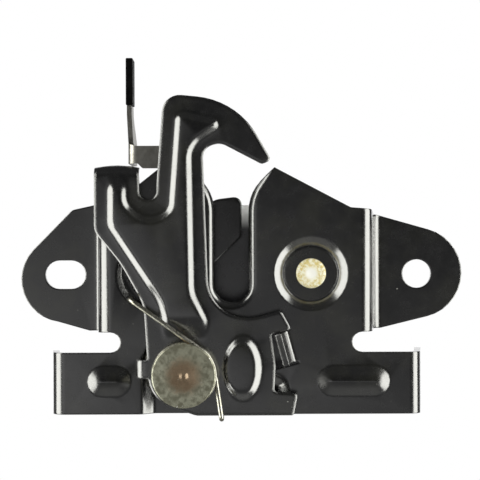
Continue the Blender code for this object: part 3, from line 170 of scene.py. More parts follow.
class NodeBoard:
    """A material's node tree with short calls to fill it."""

    def __init__(self, name: str) -> None:
        """Starts a material with its Principled shader.

        Args:
            name: The material's name.
        """
        self.material = bpy.data.materials.new(name)
        self.material.use_nodes = True
        self.tree = self.material.node_tree
        self.shader = self.tree.nodes["Principled BSDF"]
        self.place = self.tree.nodes.new("ShaderNodeTexCoord").outputs["Object"]

    def link(self, source: bpy.types.NodeSocket, target: bpy.types.NodeSocket) -> None:
        """Joins two sockets."""
        self.tree.links.new(source, target)

    def give(self, name: str, value: bpy.types.NodeSocket | float | tuple[float, ...]) -> None:
        """Fills an input of the Principled shader."""
        feed(self.tree, self.shader.inputs[name], value)

    def noise(self, size_mm: float, detail: float = 3.0, roughness: float = 0.5) -> bpy.types.NodeSocket:
        """A noise whose features are about size_mm across.

        Args:
            size_mm: The features' width in millimetres.
            detail: How many finer octaves it has.
            roughness: How strong those are.

        Returns:
            The noise's value, near 0.5 on average.
        """
        node = self.tree.nodes.new("ShaderNodeTexNoise")
        node.inputs["Scale"].default_value = 1.0 / (size_mm * MM)
        node.inputs["Detail"].default_value = detail
        node.inputs["Roughness"].default_value = roughness
        self.link(self.place, node.inputs["Vector"])
        return node.outputs["Fac"]

    def ranged(
        self, value: bpy.types.NodeSocket, low: float, high: float, first: float = 0.0, last: float = 1.0
    ) -> bpy.types.NodeSocket:
        """Maps a value from low..high to first..last with soft ends.

        Args:
            value: The value.
            low: Where the output starts to leave first.
            high: Where it reaches last.
            first: The output at low.
            last: The output at high.

        Returns:
            The mapped value.
        """
        return soft_step(self.tree, value, (low, high), (first, last))

    def radius(self, centre: tuple[float, float]) -> bpy.types.NodeSocket:
        """How far a point is from an axis across the bench, in millimetres.

        Args:
            centre: The axis's bench place.

        Returns:
            The distance.
        """
        mapping = self.tree.nodes.new("ShaderNodeMapping")
        mapping.inputs["Location"].default_value = (-centre[0], 0.0, -centre[1])
        mapping.inputs["Scale"].default_value = (1.0 / MM, 0.0, 1.0 / MM)
        self.link(self.place, mapping.inputs["Vector"])
        length = self.tree.nodes.new("ShaderNodeVectorMath")
        length.operation = "LENGTH"
        self.link(mapping.outputs["Vector"], length.inputs[0])
        return length.outputs["Value"]

    def mixed(
        self,
        share: bpy.types.NodeSocket,
        first: tuple[float, ...] | bpy.types.NodeSocket,
        second: tuple[float, ...],
    ) -> bpy.types.NodeSocket:
        """Two colours mixed by a share.

        Args:
            share: 0 for the first colour, 1 for the second.
            first: Its linear red, green and blue, or a colour from another node.
            second: The other's.

        Returns:
            The colour.
        """
        node = self.tree.nodes.new("ShaderNodeMix")
        node.data_type = "RGBA"
        first_socket, second_socket = (s for s in node.inputs if s.type == "RGBA")
        feed(self.tree, first_socket, (*first, 1.0) if isinstance(first, tuple) else first)
        second_socket.default_value = (*second, 1.0)
        self.link(share, node.inputs["Factor"])
        return next(out for out in node.outputs if out.type == "RGBA")

    def rounded(self, radius_mm: float) -> bpy.types.NodeSocket:
        """A normal that turns softly over every edge.

        Args:
            radius_mm: How far from the edge it turns, in millimetres.

        Returns:
            The normal.
        """
        node = self.tree.nodes.new("ShaderNodeBevel")
        node.samples = 8
        node.inputs["Radius"].default_value = radius_mm * MM
        return node.outputs["Normal"]

    def above(self, low: float, high: float) -> bpy.types.NodeSocket:
        """A share that rises from 0 to 1 between two heights z.

        Args:
            low: The height where it is 0, in millimetres.
            high: The height where it is 1.

        Returns:
            The share.
        """
        parts = self.tree.nodes.new("ShaderNodeSeparateXYZ")
        self.link(self.place, parts.inputs["Vector"])
        return self.ranged(parts.outputs["Z"], low * MM, high * MM)

    def bumped(
        self,
        value: bpy.types.NodeSocket,
        height_mm: float,
        under: bpy.types.NodeSocket | None = None,
    ) -> bpy.types.NodeSocket:
        """A bump of a real height.

        Args:
            value: The relief, 0 to 1.
            height_mm: What 1 stands for, in millimetres.
            under: A normal that this one lies on.

        Returns:
            The normal.
        """
        node = self.tree.nodes.new("ShaderNodeBump")
        node.inputs["Strength"].default_value = 1.0
        node.inputs["Distance"].default_value = height_mm * MM
        self.link(value, node.inputs["Height"])
        if under is not None:
            self.link(under, node.inputs["Normal"])
        return node.outputs["Normal"]


@dataclass(frozen=True)
class BlackCoat:
    """Glossy black dip coat on pressed steel: soft waves, a fine peel and a dusty haze in places."""

    name: str = "black_coat"
    color: tuple[float, float, float] = (0.004, 0.004, 0.0045)
    dust: tuple[float, float, float] = (0.011, 0.011, 0.0085)
    speck: tuple[float, float, float] = (0.32, 0.32, 0.29)
    haze_mm: float = 14.0
    haze_span: tuple[float, float] = (0.42, 0.68)
    speck_mm: float = 1.1
    speck_span: tuple[float, float] = (0.80, 0.84)
    gloss_mm: float = 4.0
    smoothest: float = 0.16
    roughest: float = 0.30
    wave_mm: float = 9.0
    wave_height: float = 0.014
    peel_mm: float = 0.55
    peel_height: float = 0.0016
    reflection: float = 1.0
    lacquer: float = 1.0
    lacquer_ior: float = 2.0
    lacquer_roughness: float = 0.2
    edge_mm: float = 0.7
    # A painted reflection: above these two heights z the coat fades to a pale colour.
    painted_reflection_band: tuple[float, float] | None = None
    painted_reflection_color: tuple[float, float, float] = (0.8, 0.8, 0.79)

    def make(self) -> bpy.types.Material:
        """Builds the coat's material, with a painted reflection that turns the coat pale above two heights
        where it has one.

        Returns:
            The material.
        """
        board = NodeBoard(self.name)
        haze = board.ranged(board.noise(self.haze_mm, 5.0, 0.6), *self.haze_span)
        tone = board.mixed(haze, self.color, self.dust)
        speck = board.ranged(board.noise(self.speck_mm, 1.0, 0.5), *self.speck_span)
        tone = board.mixed(speck, tone, self.speck)
        # Painted reflection: the coat turns pale above the given heights.
        if self.painted_reflection_band:
            tone = board.mixed(board.above(*self.painted_reflection_band), tone, self.painted_reflection_color)
        board.give("Base Color", tone)
        sheen = board.noise(self.gloss_mm, 6.0, 0.65)
        gloss = board.ranged(sheen, *NOISE_SPAN, self.smoothest, self.roughest)
        board.give("Roughness", gloss)
        edge = board.rounded(self.edge_mm)
        wave = board.bumped(board.noise(self.wave_mm, 1.5, 0.4), self.wave_height, edge)
        peel = board.bumped(board.noise(self.peel_mm, 2.0, 0.5), self.peel_height, wave)
        board.give("Normal", peel)
        board.give("Specular IOR Level", self.reflection)
        board.give("Coat Weight", self.lacquer)
        board.give("Coat IOR", self.lacquer_ior)
        board.give("Coat Roughness", self.lacquer_roughness)
        board.give("Coat Normal", wave)
        return board.material


@dataclass(frozen=True)
class Metal:
    """Bare or plated metal: a base tone, a second tone in blotches, and a fine grain."""

    name: str
    color: tuple[float, float, float]
    blotch: tuple[float, float, float]
    smoothest: float
    roughest: float
    grain_mm: float = 0.35
    grain_height: float = 0.006
    blotch_mm: float = 3.0
    metallic: float = 1.0

    def make(self) -> bpy.types.Material:
        """Builds the metal's material.

        Returns:
            The material.
        """
        board = NodeBoard(self.name)
        share = board.ranged(board.noise(self.blotch_mm, 5.0, 0.6), *BLOTCH_SPAN)
        board.give("Base Color", board.mixed(share, self.color, self.blotch))
        grain = board.noise(self.grain_mm, 3.0, 0.6)
        gloss = board.ranged(grain, *NOISE_SPAN, self.smoothest, self.roughest)
        board.give("Roughness", gloss)
        board.give("Normal", board.bumped(grain, self.grain_height))
        board.give("Metallic", self.metallic)
        return board.material


@dataclass(frozen=True)
class RivetFinish:
    """A plated rivet head: its own tone outside and a painted reflection in the middle, both blotched, with
    fine pits.
    """

    name: str
    centre: tuple[float, float]
    reflection_radius: float
    outer: tuple[float, float, float]
    outer_blotch: tuple[float, float, float]
    # The middle's colour is a painted reflection, not the plating's own tone.
    middle: tuple[float, float, float]
    reflection_fade: tuple[float, float] = (1.05, 1.75)
    blotch_mm: float = 1.6
    blotch_span: tuple[float, float] = (0.38, 0.62)
    smoothest: float = 0.3
    roughest: float = 0.5
    metallic: float = 0.3
    pit_mm: float = 0.5
    pit_height: float = 0.02
    speck: tuple[float, float, float] = (0.85, 0.85, 0.8)
    speck_mm: float = 0.8
    speck_span: tuple[float, float] = (0.73, 0.78)

    def make(self) -> bpy.types.Material:
        """Builds the plating's material.

        The painted reflection in the middle fades into the outer tone by the distance from the rivet's
        axis, moved in and out by the blotches.

        Returns:
            The material.
        """
        board = NodeBoard(self.name)
        blotch = board.noise(self.blotch_mm, 5.0, 0.65)
        outer = board.mixed(board.ranged(blotch, *self.blotch_span), self.outer, self.outer_blotch)
        edge = computed(board.tree, "MULTIPLY_ADD", blotch, self.reflection_radius, board.radius(self.centre))
        start, end = (self.reflection_radius * factor for factor in self.reflection_fade)
        # Painted reflection in the middle, fading out into the outer tone.
        tone = board.mixed(board.ranged(edge, start, end, 1.0, 0.0), outer, self.middle)
        speck = board.ranged(board.noise(self.speck_mm, 1.0, 0.5), *self.speck_span)
        board.give("Base Color", board.mixed(speck, tone, self.speck))
        gloss = board.ranged(blotch, *NOISE_SPAN, self.smoothest, self.roughest)
        board.give("Roughness", gloss)
        pits = board.noise(self.pit_mm, 3.0, 0.6)
        board.give("Normal", board.bumped(pits, self.pit_height))
        board.give("Metallic", self.metallic)
        return board.material


@dataclass(frozen=True)
class BlackPlastic:
    """Matt black dipped sleeve with a fine leathery grain."""

    name: str = "black_plastic"
    color: tuple[float, float, float] = (0.001, 0.001, 0.001)
    worn: tuple[float, float, float] = (0.003, 0.003, 0.003)
    worn_mm: float = 2.5
    worn_span: tuple[float, float] = (0.45, 0.7)
    gloss_mm: float = 1.2
    smoothest: float = 0.42
    roughest: float = 0.6
    grain_mm: float = 0.4
    grain_height: float = 0.012
    reflection: float = 0.08

    def make(self) -> bpy.types.Material:
        """Builds the sleeve's material.

        Returns:
            The material.
        """
        board = NodeBoard(self.name)
        share = board.ranged(board.noise(self.worn_mm, 4.0, 0.6), *self.worn_span)
        board.give("Base Color", board.mixed(share, self.color, self.worn))
        gloss = board.ranged(board.noise(self.gloss_mm), *NOISE_SPAN, self.smoothest, self.roughest)
        board.give("Roughness", gloss)
        grain = board.noise(self.grain_mm, 3.0)
        board.give("Normal", board.bumped(grain, self.grain_height))
        board.give("Specular IOR Level", self.reflection)
        return board.material


def make_finishes() -> dict[Slot | str, bpy.types.Material]:
    """Builds each finish once.

    Returns:
        The materials by slot, and by node where a node's finish is its own.
    """
    return {
        # The brownish middle is a painted reflection in the head's shallow dish.
        "pivot_rivet": RivetFinish(
            name="rivet_zinc",
            centre=PIVOT,
            reflection_radius=5.4,
            outer=(0.40, 0.40, 0.31),
            outer_blotch=(0.19, 0.185, 0.135),
            middle=(0.26, 0.19, 0.125),
            metallic=0.6,
            smoothest=0.2,
            roughest=0.38,
        ).make(),
        "safety_hook": BlackCoat("hook_coat", edge_mm=1.5).make(),
        # The rear plate is black-coated: its lighter grey tone stands in for the dark-grey reflection on
        # it, and its pale top band is a painted reflection of the white background.
        "rear_plate": BlackCoat(
            name="rear_coat",
            color=(0.045, 0.045, 0.050),
            dust=(0.052, 0.052, 0.056),
            painted_reflection_band=(14.0, 18.8),
            painted_reflection_color=(0.97, 0.97, 0.96),
        ).make(),
        # The near-white middle is a painted highlight on the domed head.
        "lever_rivet": RivetFinish(
            name="rivet_yellow",
            centre=LEVER_PIVOT,
            reflection_radius=2.0,
            outer=(0.70, 0.58, 0.22),
            outer_blotch=(0.92, 0.90, 0.74),
            middle=(0.98, 0.97, 0.90),
            blotch_mm=0.9,
            metallic=0.1,
        ).make(),
        Slot.BLACK_COAT: BlackCoat().make(),
        Slot.BLACK_PLASTIC: BlackPlastic().make(),
        Slot.ZINC: Metal("zinc", (0.50, 0.50, 0.44), (0.38, 0.37, 0.31), 0.28, 0.42).make(),
        Slot.BARE_STEEL: Metal("bare_steel", (0.40, 0.39, 0.36), (0.28, 0.27, 0.24), 0.3, 0.46).make(),
        Slot.SPRING_STEEL: Metal("spring_steel", (0.52, 0.51, 0.45), (0.36, 0.35, 0.29), 0.22, 0.38).make(),
        Slot.BUSH_BRONZE: Metal("bush_bronze", (0.58, 0.42, 0.22), (0.46, 0.31, 0.15), 0.3, 0.45).make(),
    }


@dataclass(frozen=True)
class MovingLeg:
    """A torsion spring's free leg, which turns with the piece that it pushes."""

    body: Body
    centre: tuple[float, float]
    tip: tuple[float, float]
    reach: tuple[float, float]

    def line(self) -> tuple[tuple[float, ...], tuple[float, ...]]:
        """Where the leg starts and ends to turn with its body.

        Both points lie on the line from the coil's centre to the leg's tip, at the two reaches.

        Returns:
            The start and the end in the shared frame.
        """
        centre = np.array(self.centre)
        way = np.array(self.tip) - centre
        way /= np.linalg.norm(way)
        ends = [(*(centre + way * far), 0.0) for far in self.reach]
        start, end = to_world(np.array(ends))
        return tuple(map(float, start)), tuple(map(float, end))


@dataclass
class Workshop:
    """Puts finished pieces on the latch: finish, slot, body and the node that each stands for."""

    finishes: dict[Slot | str, bpy.types.Material]
    placed: list[str] = field(default_factory=list)

    def place(
        self, piece: bpy.types.Object, slot: Slot, body: Body, node: str, leg: MovingLeg | None = None
    ) -> None:
        """Dresses a piece that replaces a node; without a leg it rides on its body, and with one it is only
        baked in place.

        Args:
            piece: The new piece, at the origin.
            slot: Its finish.
            body: What it rides on when it has no leg.
            node: The solid that it stands for.
            leg: A spring's moving leg, or None; its line is worked out and not used, and the piece is then
                not attached.
        """
        piece.data.materials.clear()
        piece.data.materials.append(self.finishes[node if node in self.finishes else slot])
        if leg is None:
            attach(piece, body.value)
        else:
            start, end = leg.line()
            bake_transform(piece)
        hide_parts(node)
        self.placed.append(piece.name)
        LOG.info("%s stands for %s on %s", piece.name, node, body.value)


def new_object(name: str, vertices: np.ndarray, faces: np.ndarray) -> bpy.types.Object:
    """An object at the origin from arrays, its doubles merged and its faces turned outwards.

    Args:
        name: The object's name.
        vertices: Rows of (x, y, z) in metres.
        faces: Rows of vertex numbers, three or four to a row.

    Returns:
        The linked object.
    """
    mesh = bpy.data.meshes.new(name)
    mesh.from_pydata(vertices, [], faces.tolist())
    shell = bmesh.new()
    shell.from_mesh(mesh)
    bmesh.ops.remove_doubles(shell, verts=shell.verts, dist=WELD)
    bmesh.ops.recalc_face_normals(shell, faces=shell.faces)
    shell.to_mesh(mesh)
    shell.free()
    obj = bpy.data.objects.new(name, mesh)
    bpy.context.scene.collection.objects.link(obj)
    return obj


def grid_faces(rows: int, columns: int, wrap_rows: bool, wrap_columns: bool) -> np.ndarray:
    """The quads of a grid of points numbered row by row.

    Args:
        rows: How many rows of points it has.
        columns: How many points a row has.
        wrap_rows: Whether the last row joins the first.
        wrap_columns: Whether each row's last point joins its first.

    Returns:
        Rows of four point numbers.
    """
    i = np.arange(rows if wrap_rows else rows - 1)[:, None]
    j = np.arange(columns if wrap_columns else columns - 1)[None, :]
    below = (i + 1) % rows
    beside = (j + 1) % columns
    corners = [i * columns + j, below * columns + j, below * columns + beside, i * columns + beside]
    return np.stack([np.broadcast_to(c, (i.size, j.size)).ravel() for c in corners], axis=1)


@dataclass
class Turning:
    """A turned piece: a profile of radius and height carried round its axis.

    A point of the surface is the centre plus radius times the cosine and sine of the angle across the
    bench, at the profile's own height, for every profile point and every angle of the grid.
    """

    name: str
    profile: list[tuple[float, float]]
    centre: tuple[float, float]
    steps: int = 72
    ring: bool = False
    crease: float = 24.0

    def build(self) -> bpy.types.Object:
        """Builds the turned mesh, smooth where the profile is.

        Returns:
            The object.
        """
        profile = np.asarray(self.profile, float)
        angles = np.linspace(0.0, 2 * np.pi, self.steps, endpoint=False)
        radius = profile[:, 0][:, None]
        x = self.centre[0] + radius * np.cos(angles)
        z = self.centre[1] + radius * np.sin(angles)
        h = np.broadcast_to(profile[:, 1][:, None], x.shape)
        faces = grid_faces(len(profile), self.steps, self.ring, True)
        places = np.column_stack([x.ravel(), z.ravel(), h.ravel()])
        obj = new_object(self.name, to_world(places), faces)
        smooth_shade(obj, self.crease)
        return obj


def smooth_shade(obj: bpy.types.Object, degrees: float) -> None:
    """Shades an object smooth, with sharp edges past an angle."""
    obj.data.shade_smooth()
    obj.data.set_sharp_from_angle(angle=math.radians(degrees))


@dataclass
class Wire:
    """Round wire along a path of bench places: a circle carried along without twisting."""

    name: str
    path: np.ndarray
    diameter: float
    sides: int = 20
    end_edge: float = 0.2
    crease: float = 35.0
    first_side: tuple[float, float, float] = (0.31, 0.86, 0.41)

    def build(self) -> bpy.types.Object:
        """Builds the wire's mesh with broken end edges.

        Each ring is the path's point plus the radius times the cosine of the side's angle along one
        normal and its sine along the other. Both normals are carried along the path without twist.

        Returns:
            The object.
        """
        path = np.asarray(self.path, float)
        along = np.gradient(path, axis=0)
        along /= np.linalg.norm(along, axis=1)[:, None]
        normal = np.cross(along[0], self.first_side)
        normals = np.empty_like(path)
        for k, tangent in enumerate(along):
            normal = normal - tangent * (normal @ tangent)
            normal /= np.linalg.norm(normal)
            normals[k] = normal
        second = np.cross(along, normals)
        radii = np.full(len(path), self.diameter / 2)
        edge = self.end_edge
        inset = path[0] + along[0] * edge, path[-1] - along[-1] * edge
        path = np.vstack([path[0], inset[0], path[1:-1], inset[1], path[-1]])
        normals = np.vstack([normals[0], normals, normals[-1]])
        second = np.vstack([second[0], second, second[-1]])
        radii = np.concatenate([[radii[0] - edge], radii, [radii[-1] - edge]])
        angles = np.linspace(0.0, 2 * np.pi, self.sides, endpoint=False)
        across = normals[:, None] * np.cos(angles)[:, None] + second[:, None] * np.sin(angles)[:, None]
        rings = path[:, None] + across * radii[:, None, None]
        caps = np.repeat(path[:1, None], self.sides, 1), np.repeat(path[-1:, None], self.sides, 1)
        rings = np.concatenate([caps[0], rings, caps[1]])
        faces = grid_faces(len(rings), self.sides, False, True)
        obj = new_object(self.name, to_world(rings.reshape(-1, 3)), faces)
        smooth_shade(obj, self.crease)
        return obj


def rounded_path(
    corners: list[tuple[float, ...]], radius: float, steps: int = 8, share_of_side: float = 0.48
) -> np.ndarray:
    """A path through corners, each bend an arc.

    The arc's points are the two tangent points blended with the corner as a quadratic curve.

    Args:
        corners: Bench places.
        radius: How far from the corner each bend starts, at most.
        steps: Points to a bend.
        share_of_side: The most that a bend may take of the side before or after it.

    Returns:
        Rows of bench places.
    """
    points = np.asarray(corners, float)
    share = np.linspace(0.0, 1.0, steps)[:, None]
    rows = [points[:1]]
    for before, here, after in zip(points[:-2], points[1:-1], points[2:]):
        back = before - here
        ahead = after - here
        sides = np.linalg.norm(back), np.linalg.norm(ahead)
        reach = min(radius, sides[0] * share_of_side, sides[1] * share_of_side)
        first = here + back / np.linalg.norm(back) * reach
        last = here + ahead / np.linalg.norm(ahead) * reach
        rows.append((1 - share) ** 2 * first + 2 * share * (1 - share) * here + share**2 * last)
    rows.append(points[-1:])
    return np.vstack(rows)


def helix(
    centre: tuple[float, float],
    radius: float,
    start: float,
    turns: float,
    low: float,
    high: float,
    steps: int = 60,
) -> np.ndarray:
    """A coil's centre line: the angle and the height both grow evenly.

    Args:
        centre: The coil's axis.
        radius: Its mean radius.
        start: The first point's angle in degrees.
        turns: How many turns it has.
        low: The first point's height.
        high: The last one's.
        steps: Points to a turn.

    Returns:
        Rows of bench places.
    """
    share = np.linspace(0.0, 1.0, round(steps * turns) + 1)
    angle = np.radians(start + 360.0 * turns * share)
    return np.column_stack([
        centre[0] + radius * np.cos(angle),
        centre[1] + radius * np.sin(angle),
        low + (high - low) * share,
    ])


def even_boss(
    places: np.ndarray, flat: float = 8.7, ring: float = 11.5, depth: float = 2.0, low: float = 14.0
) -> np.ndarray:
    """Gives the dished boss an even slope in place of a soft step.

    With t, the share of the way from the ring to the flat, each point on the slope moves along h by the
    depth times t squared times 3 minus 2 t, the soft step, minus the depth times t.

    Args:
        places: Rows of (x, y, z) in metres.
        flat: The radius of the boss's flat, in millimetres.
        ring: The radius where its slope starts.
        depth: How far the flat is set back.
        low: The height under which nothing moves.

    Returns:
        The places with the slope's points moved.
    """
    reach = np.hypot(places[:, 0] - LEVER_PIVOT[0] * MM, places[:, 2] - LEVER_PIVOT[1] * MM) / MM
    share = np.clip((ring - reach) / (ring - flat), 0.0, 1.0)
    shift = depth * (share**2 * (3.0 - 2.0 * share) - share)
    moved = places.copy()
    moved[:, 1] -= np.where(places[:, 1] < -low * MM, shift, 0.0) * MM
    return moved


def steep_bead(
    places: np.ndarray,
    centre: tuple[float, float] = (3.4, -28.3),
    half: tuple[float, float] = (6.3, 10.4),
    flank: float = 0.48,
    shift: float = 1.45,
    spread: float = 1.8,
) -> np.ndarray:
    """Steepens the left flank of the hook's oval bead, by moving its flat top to the left.

    A point moves by the shift times the soft step of its share of the way up the flank, which is the
    unit ellipse's radius counted inwards, times how far left of the middle it is.

    Args:
        places: Rows of (x, y, z) in metres.
        centre: The bead's middle across the bench, in millimetres.
        half: Its half width and half height.
        flank: The flank's width as a share of the ellipse's radius.
        shift: How far the top's left end moves.
        spread: How fast the shift grows to the left, in half widths.

    Returns:
        The places with the bead's left part moved.
    """
    x = (places[:, 0] / MM - centre[0]) / half[0]
    z = (places[:, 2] / MM - centre[1]) / half[1]
    share = np.clip((1.0 - np.hypot(x, z)) / flank, 0.0, 1.0)
    left = np.clip(-x * spread, 0.0, 1.0)
    moved = places.copy()
    moved[:, 0] -= shift * share**2 * (3.0 - 2.0 * share) * left * MM
    return moved


@dataclass
class Pressing:
    """A stamped piece: its solid's own surface, welded, with the sheared edges broken."""

    node: str
    slot: Slot
    body: Body
    edge: float = 0.28
    segments: int = 2
    crease: float = 38.0
    flat_angle: float = 0.6
    reshape: Callable[[np.ndarray], np.ndarray] | None = None

    def build(self) -> bpy.types.Object:
        """Copies the node's surface and rounds its edges.

        Returns:
            The object.
        """
        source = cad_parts[self.node].data
        places = np.empty(len(source.vertices) * 3, np.float32)
        source.vertices.foreach_get("co", places)
        corners = np.empty(len(source.loops), np.int32)
        source.loops.foreach_get("vertex_index", corners)
        welded, index = np.unique(np.round(places.reshape(-1, 3), WELD_DIGITS), axis=0, return_inverse=True)
        if self.reshape:
            welded = self.reshape(welded)
        faces = index.reshape(-1)[corners].reshape(-1, 3)
        obj = new_object(f"{self.node}_dressed", welded, faces)
        shell = bmesh.new()
        shell.from_mesh(obj.data)
        flat = math.radians(self.flat_angle)
        bmesh.ops.dissolve_limit(shell, angle_limit=flat, verts=shell.verts, edges=shell.edges)
        sharp = [e for e in shell.edges if e.calc_face_angle(0.0) > math.radians(self.crease)]
        bmesh.ops.bevel(
            shell,
            geom=sharp,
            offset=self.edge * MM,
            segments=self.segments,
            profile=0.5,
            affect="EDGES",
            clamp_overlap=True,
        )
        bmesh.ops.triangulate(shell, faces=[f for f in shell.faces if len(f.verts) > 4])
        shell.to_mesh(obj.data)
        shell.free()
        smooth_shade(obj, self.crease)
        even = obj.modifiers.new("even_normals", "WEIGHTED_NORMAL")
        even.mode = "FACE_AREA"
        even.weight = 50
        even.keep_sharp = False
        return obj


@dataclass
class PressedSet:
    """All the stamped pieces of the latch."""

    pieces: list[Pressing] = field(default_factory=lambda: [
        Pressing("base_plate", Slot.BLACK_COAT, Body.PLATE, crease=30.0, reshape=even_boss),
        Pressing("safety_hook", Slot.BLACK_COAT, Body.HOOK, edge=0.75, segments=4, reshape=steep_bead),
        Pressing("main_catch", Slot.BLACK_COAT, Body.CATCH),
        Pressing("release_lever", Slot.ZINC, Body.LEVER),
        Pressing("rear_plate", Slot.BLACK_COAT, Body.PLATE, edge=0.2),
        Pressing("hook_handle", Slot.BARE_STEEL, Body.HOOK, edge=0.2),
        Pressing("handle_grip", Slot.BLACK_PLASTIC, Body.HOOK, edge=0.12),
    ])

    def dress(self, shop: Workshop) -> None:
        """Builds and places every stamped piece."""
        for piece in self.pieces:
            shop.place(piece.build(), piece.slot, piece.body, piece.node)


def tube_profile(
    inner: float, outer: float, low: float, high: float, edge: float
) -> list[tuple[float, float]]:
    """A tube's or washer's section, a closed ring with its four corners cut at 45 degrees.

    Args:
        inner: The bore's radius.
        outer: The outside's radius.
        low: The back face's height.
        high: The front face's height.
        edge: How much of each corner is cut.

    Returns:
        Points of radius and height.
    """
    return [
        (inner, low + edge), (inner + edge, low), (outer - edge, low), (outer, low + edge),
        (outer, high - edge), (outer - edge, high), (inner + edge, high), (inner, high - edge),
    ]


@dataclass
class Tube:
    """A bush, washer or spacer: its radii and heights, finish and body."""

    node: str
    centre: tuple[float, float]
    inner: float
    outer: float
    low: float
    high: float
    slot: Slot = Slot.ZINC
    body: Body = Body.PLATE
    edge: float = 0.3

    def dress(self, shop: Workshop) -> None:
        """Turns the tube and places it."""
        profile = tube_profile(self.inner, self.outer, self.low, self.high, self.edge)
        turned = Turning(f"{self.node}_turned", profile, self.centre, ring=True)
        shop.place(turned.build(), self.slot, self.body, self.node)


def hollow(radius: np.ndarray, depth: float, reach: float) -> np.ndarray:
    """A round hollow's depth at each radius: a squared cosine that ends at its reach."""
    return depth * np.cos(np.pi / 2 * np.minimum(radius / reach, 1.0)) ** 2


@dataclass
class PivotStack:
    """Everything turned on the main pivot and on the lever's rivet."""

    head_radius: float = 9.75
    head_back: float = 30.6575
    head_front: float = 33.0575
    head_edge: float = 0.3
    rim_round: float = 0.6
    face_margin: float = 0.75
    face_sink: float = 0.02
    shank_radius: float = 4.0
    tail_front: float = 2.3
    tail_radius: float = 5.6
    tail_end: tuple[tuple[float, float], ...] = ((5.4, 1.1), (3.4, 0.3), (0.0, 0.3))
    dish_depth: float = 0.95
    dish_radius: float = 5.6
    dimple_depth: float = 0.5
    dimple_radius: float = 1.8
    crown: float = 0.45
    lever_low: float = 18.3
    lever_radius: float = 4.65
    lever_face: float = 4.1
    lever_dome: float = 1.25
    lever_fall: float = 0.4
    lever_dimple_depth: float = 0.25
    lever_dimple_radius: float = 2.2
    lever_rim: tuple[tuple[float, float], ...] = (
        (4.42, 0.78), (4.6, 0.6), (4.65, 0.4), (4.65, 0.0), (3.0, 0.0),
    )
    lever_tail: tuple[tuple[float, float], ...] = (
        (3.0, 2.3), (4.5, 2.3), (4.3, 1.2), (2.5, 0.5), (0.0, 0.5),
    )
    spool: tuple[tuple[float, float], ...] = (
        (4.3, 30.3575), (7.975, 30.3575), (8.275, 30.0575), (8.275, 25.5), (7.975, 25.2), (5.5, 25.2),
        (5.5, 22.5), (5.4, 22.4), (4.3, 22.4),
    )
    tubes: list[Tube] = field(default_factory=lambda: [
        Tube("hook_washer", PIVOT, 4.3, 6.2, 17.3, 22.1),
        Tube("catch_washer", PIVOT, 4.3, 7.0, 13.3, 14.7),
        Tube("catch_bush", PIVOT, 4.3, 5.5, 9.5, 13.0, Slot.BUSH_BRONZE, Body.CATCH, 0.1),
        Tube("pivot_spacer", PIVOT, 4.3, 5.6, 4.4, 9.2),
        Tube("lever_washer", LEVER_PIVOT, 3.3, 6.4, 12.8, 15.7),
        Tube("lever_bush", LEVER_PIVOT, 3.3, 4.5, 9.5, 12.5, Slot.BUSH_BRONZE, Body.LEVER, 0.1),
        Tube("lever_spacer", LEVER_PIVOT, 3.3, 4.7, 4.4, 9.2),
    ])

    def main_rivet(self) -> list[tuple[float, float]]:
        """The main rivet's profile.

        The head's face is a low crown, which falls with the square of the radius, minus a dish and a small
        dimple in its middle, whose depths follow squared cosines. The rim is a quarter round.

        Returns:
            Points of radius and height.
        """
        radius = np.linspace(0.0, self.head_radius - self.face_margin, 46)
        crown = self.crown * (1.0 - (radius / self.head_radius) ** 2)
        dish = hollow(radius, self.dish_depth, self.dish_radius)
        dimple = hollow(radius, self.dimple_depth, self.dimple_radius)
        rim = self.head_front - self.crown
        face = np.column_stack([radius, rim + crown - dish - dimple - self.face_sink])
        turn = np.linspace(0.0, np.pi / 2, 7)[1:]
        edge = self.rim_round
        round_rim = np.column_stack([
            self.head_radius - edge + edge * np.sin(turn),
            rim - edge + edge * np.cos(turn),
        ])
        back = [
            (self.head_radius, self.head_back + self.head_edge),
            (self.head_radius - self.head_edge, self.head_back),
            (self.shank_radius, self.head_back),
            (self.shank_radius, self.tail_front),
            (self.tail_radius, self.tail_front),
        ]
        return [tuple(map(float, point)) for point in (*face, *round_rim, *back, *self.tail_end)]

    def lever_rivet(self) -> list[tuple[float, float]]:
        """The lever rivet's profile: a domed head with a shallow dimple, its shank and its tail.

        The dome falls with the fourth power of the radius, and the dimple is taken off it.

        Returns:
            Points of radius and height.
        """
        radius = np.linspace(0.0, self.lever_face, 18)
        dome = self.lever_dome - self.lever_fall * (radius / self.lever_radius) ** 4
        dome -= hollow(radius, self.lever_dimple_depth, self.lever_dimple_radius)
        face = np.column_stack([radius, self.lever_low + dome])
        rim = [(out, self.lever_low + up) for out, up in self.lever_rim]
        return [tuple(map(float, point)) for point in (*face, *rim, *self.lever_tail)]

    def dress(self, shop: Workshop) -> None:
        """Turns and places the rivets, the spool and every tube."""
        rivet = Turning("pivot_rivet_turned", self.main_rivet(), PIVOT, steps=96, crease=32.0)
        shop.place(rivet.build(), Slot.ZINC, Body.PLATE, "pivot_rivet")
        small = Turning("lever_rivet_turned", self.lever_rivet(), LEVER_PIVOT, crease=32.0)
        shop.place(small.build(), Slot.YELLOW_ZINC, Body.PLATE, "lever_rivet")
        spool = Turning("hook_bush_turned", list(self.spool), PIVOT, ring=True)
        shop.place(spool.build(), Slot.BUSH_BRONZE, Body.HOOK, "hook_bush")
        for tube in self.tubes:
            tube.dress(shop)


def tangent_leg(end: np.ndarray, angle: float, length: float) -> np.ndarray:
    """Where a straight leg ends that leaves a coil along its tangent.

    The coil's end moved by the length times the tangent, minus the sine and plus the cosine of its angle.

    Args:
        end: The coil's end.
        angle: Its angle in degrees.
        length: The leg's length, negative for a leg that comes before the coil.

    Returns:
        The leg's end across the bench.
    """
    turn = math.radians(angle)
    return end[:2] + length * np.array([-math.sin(turn), math.cos(turn)])


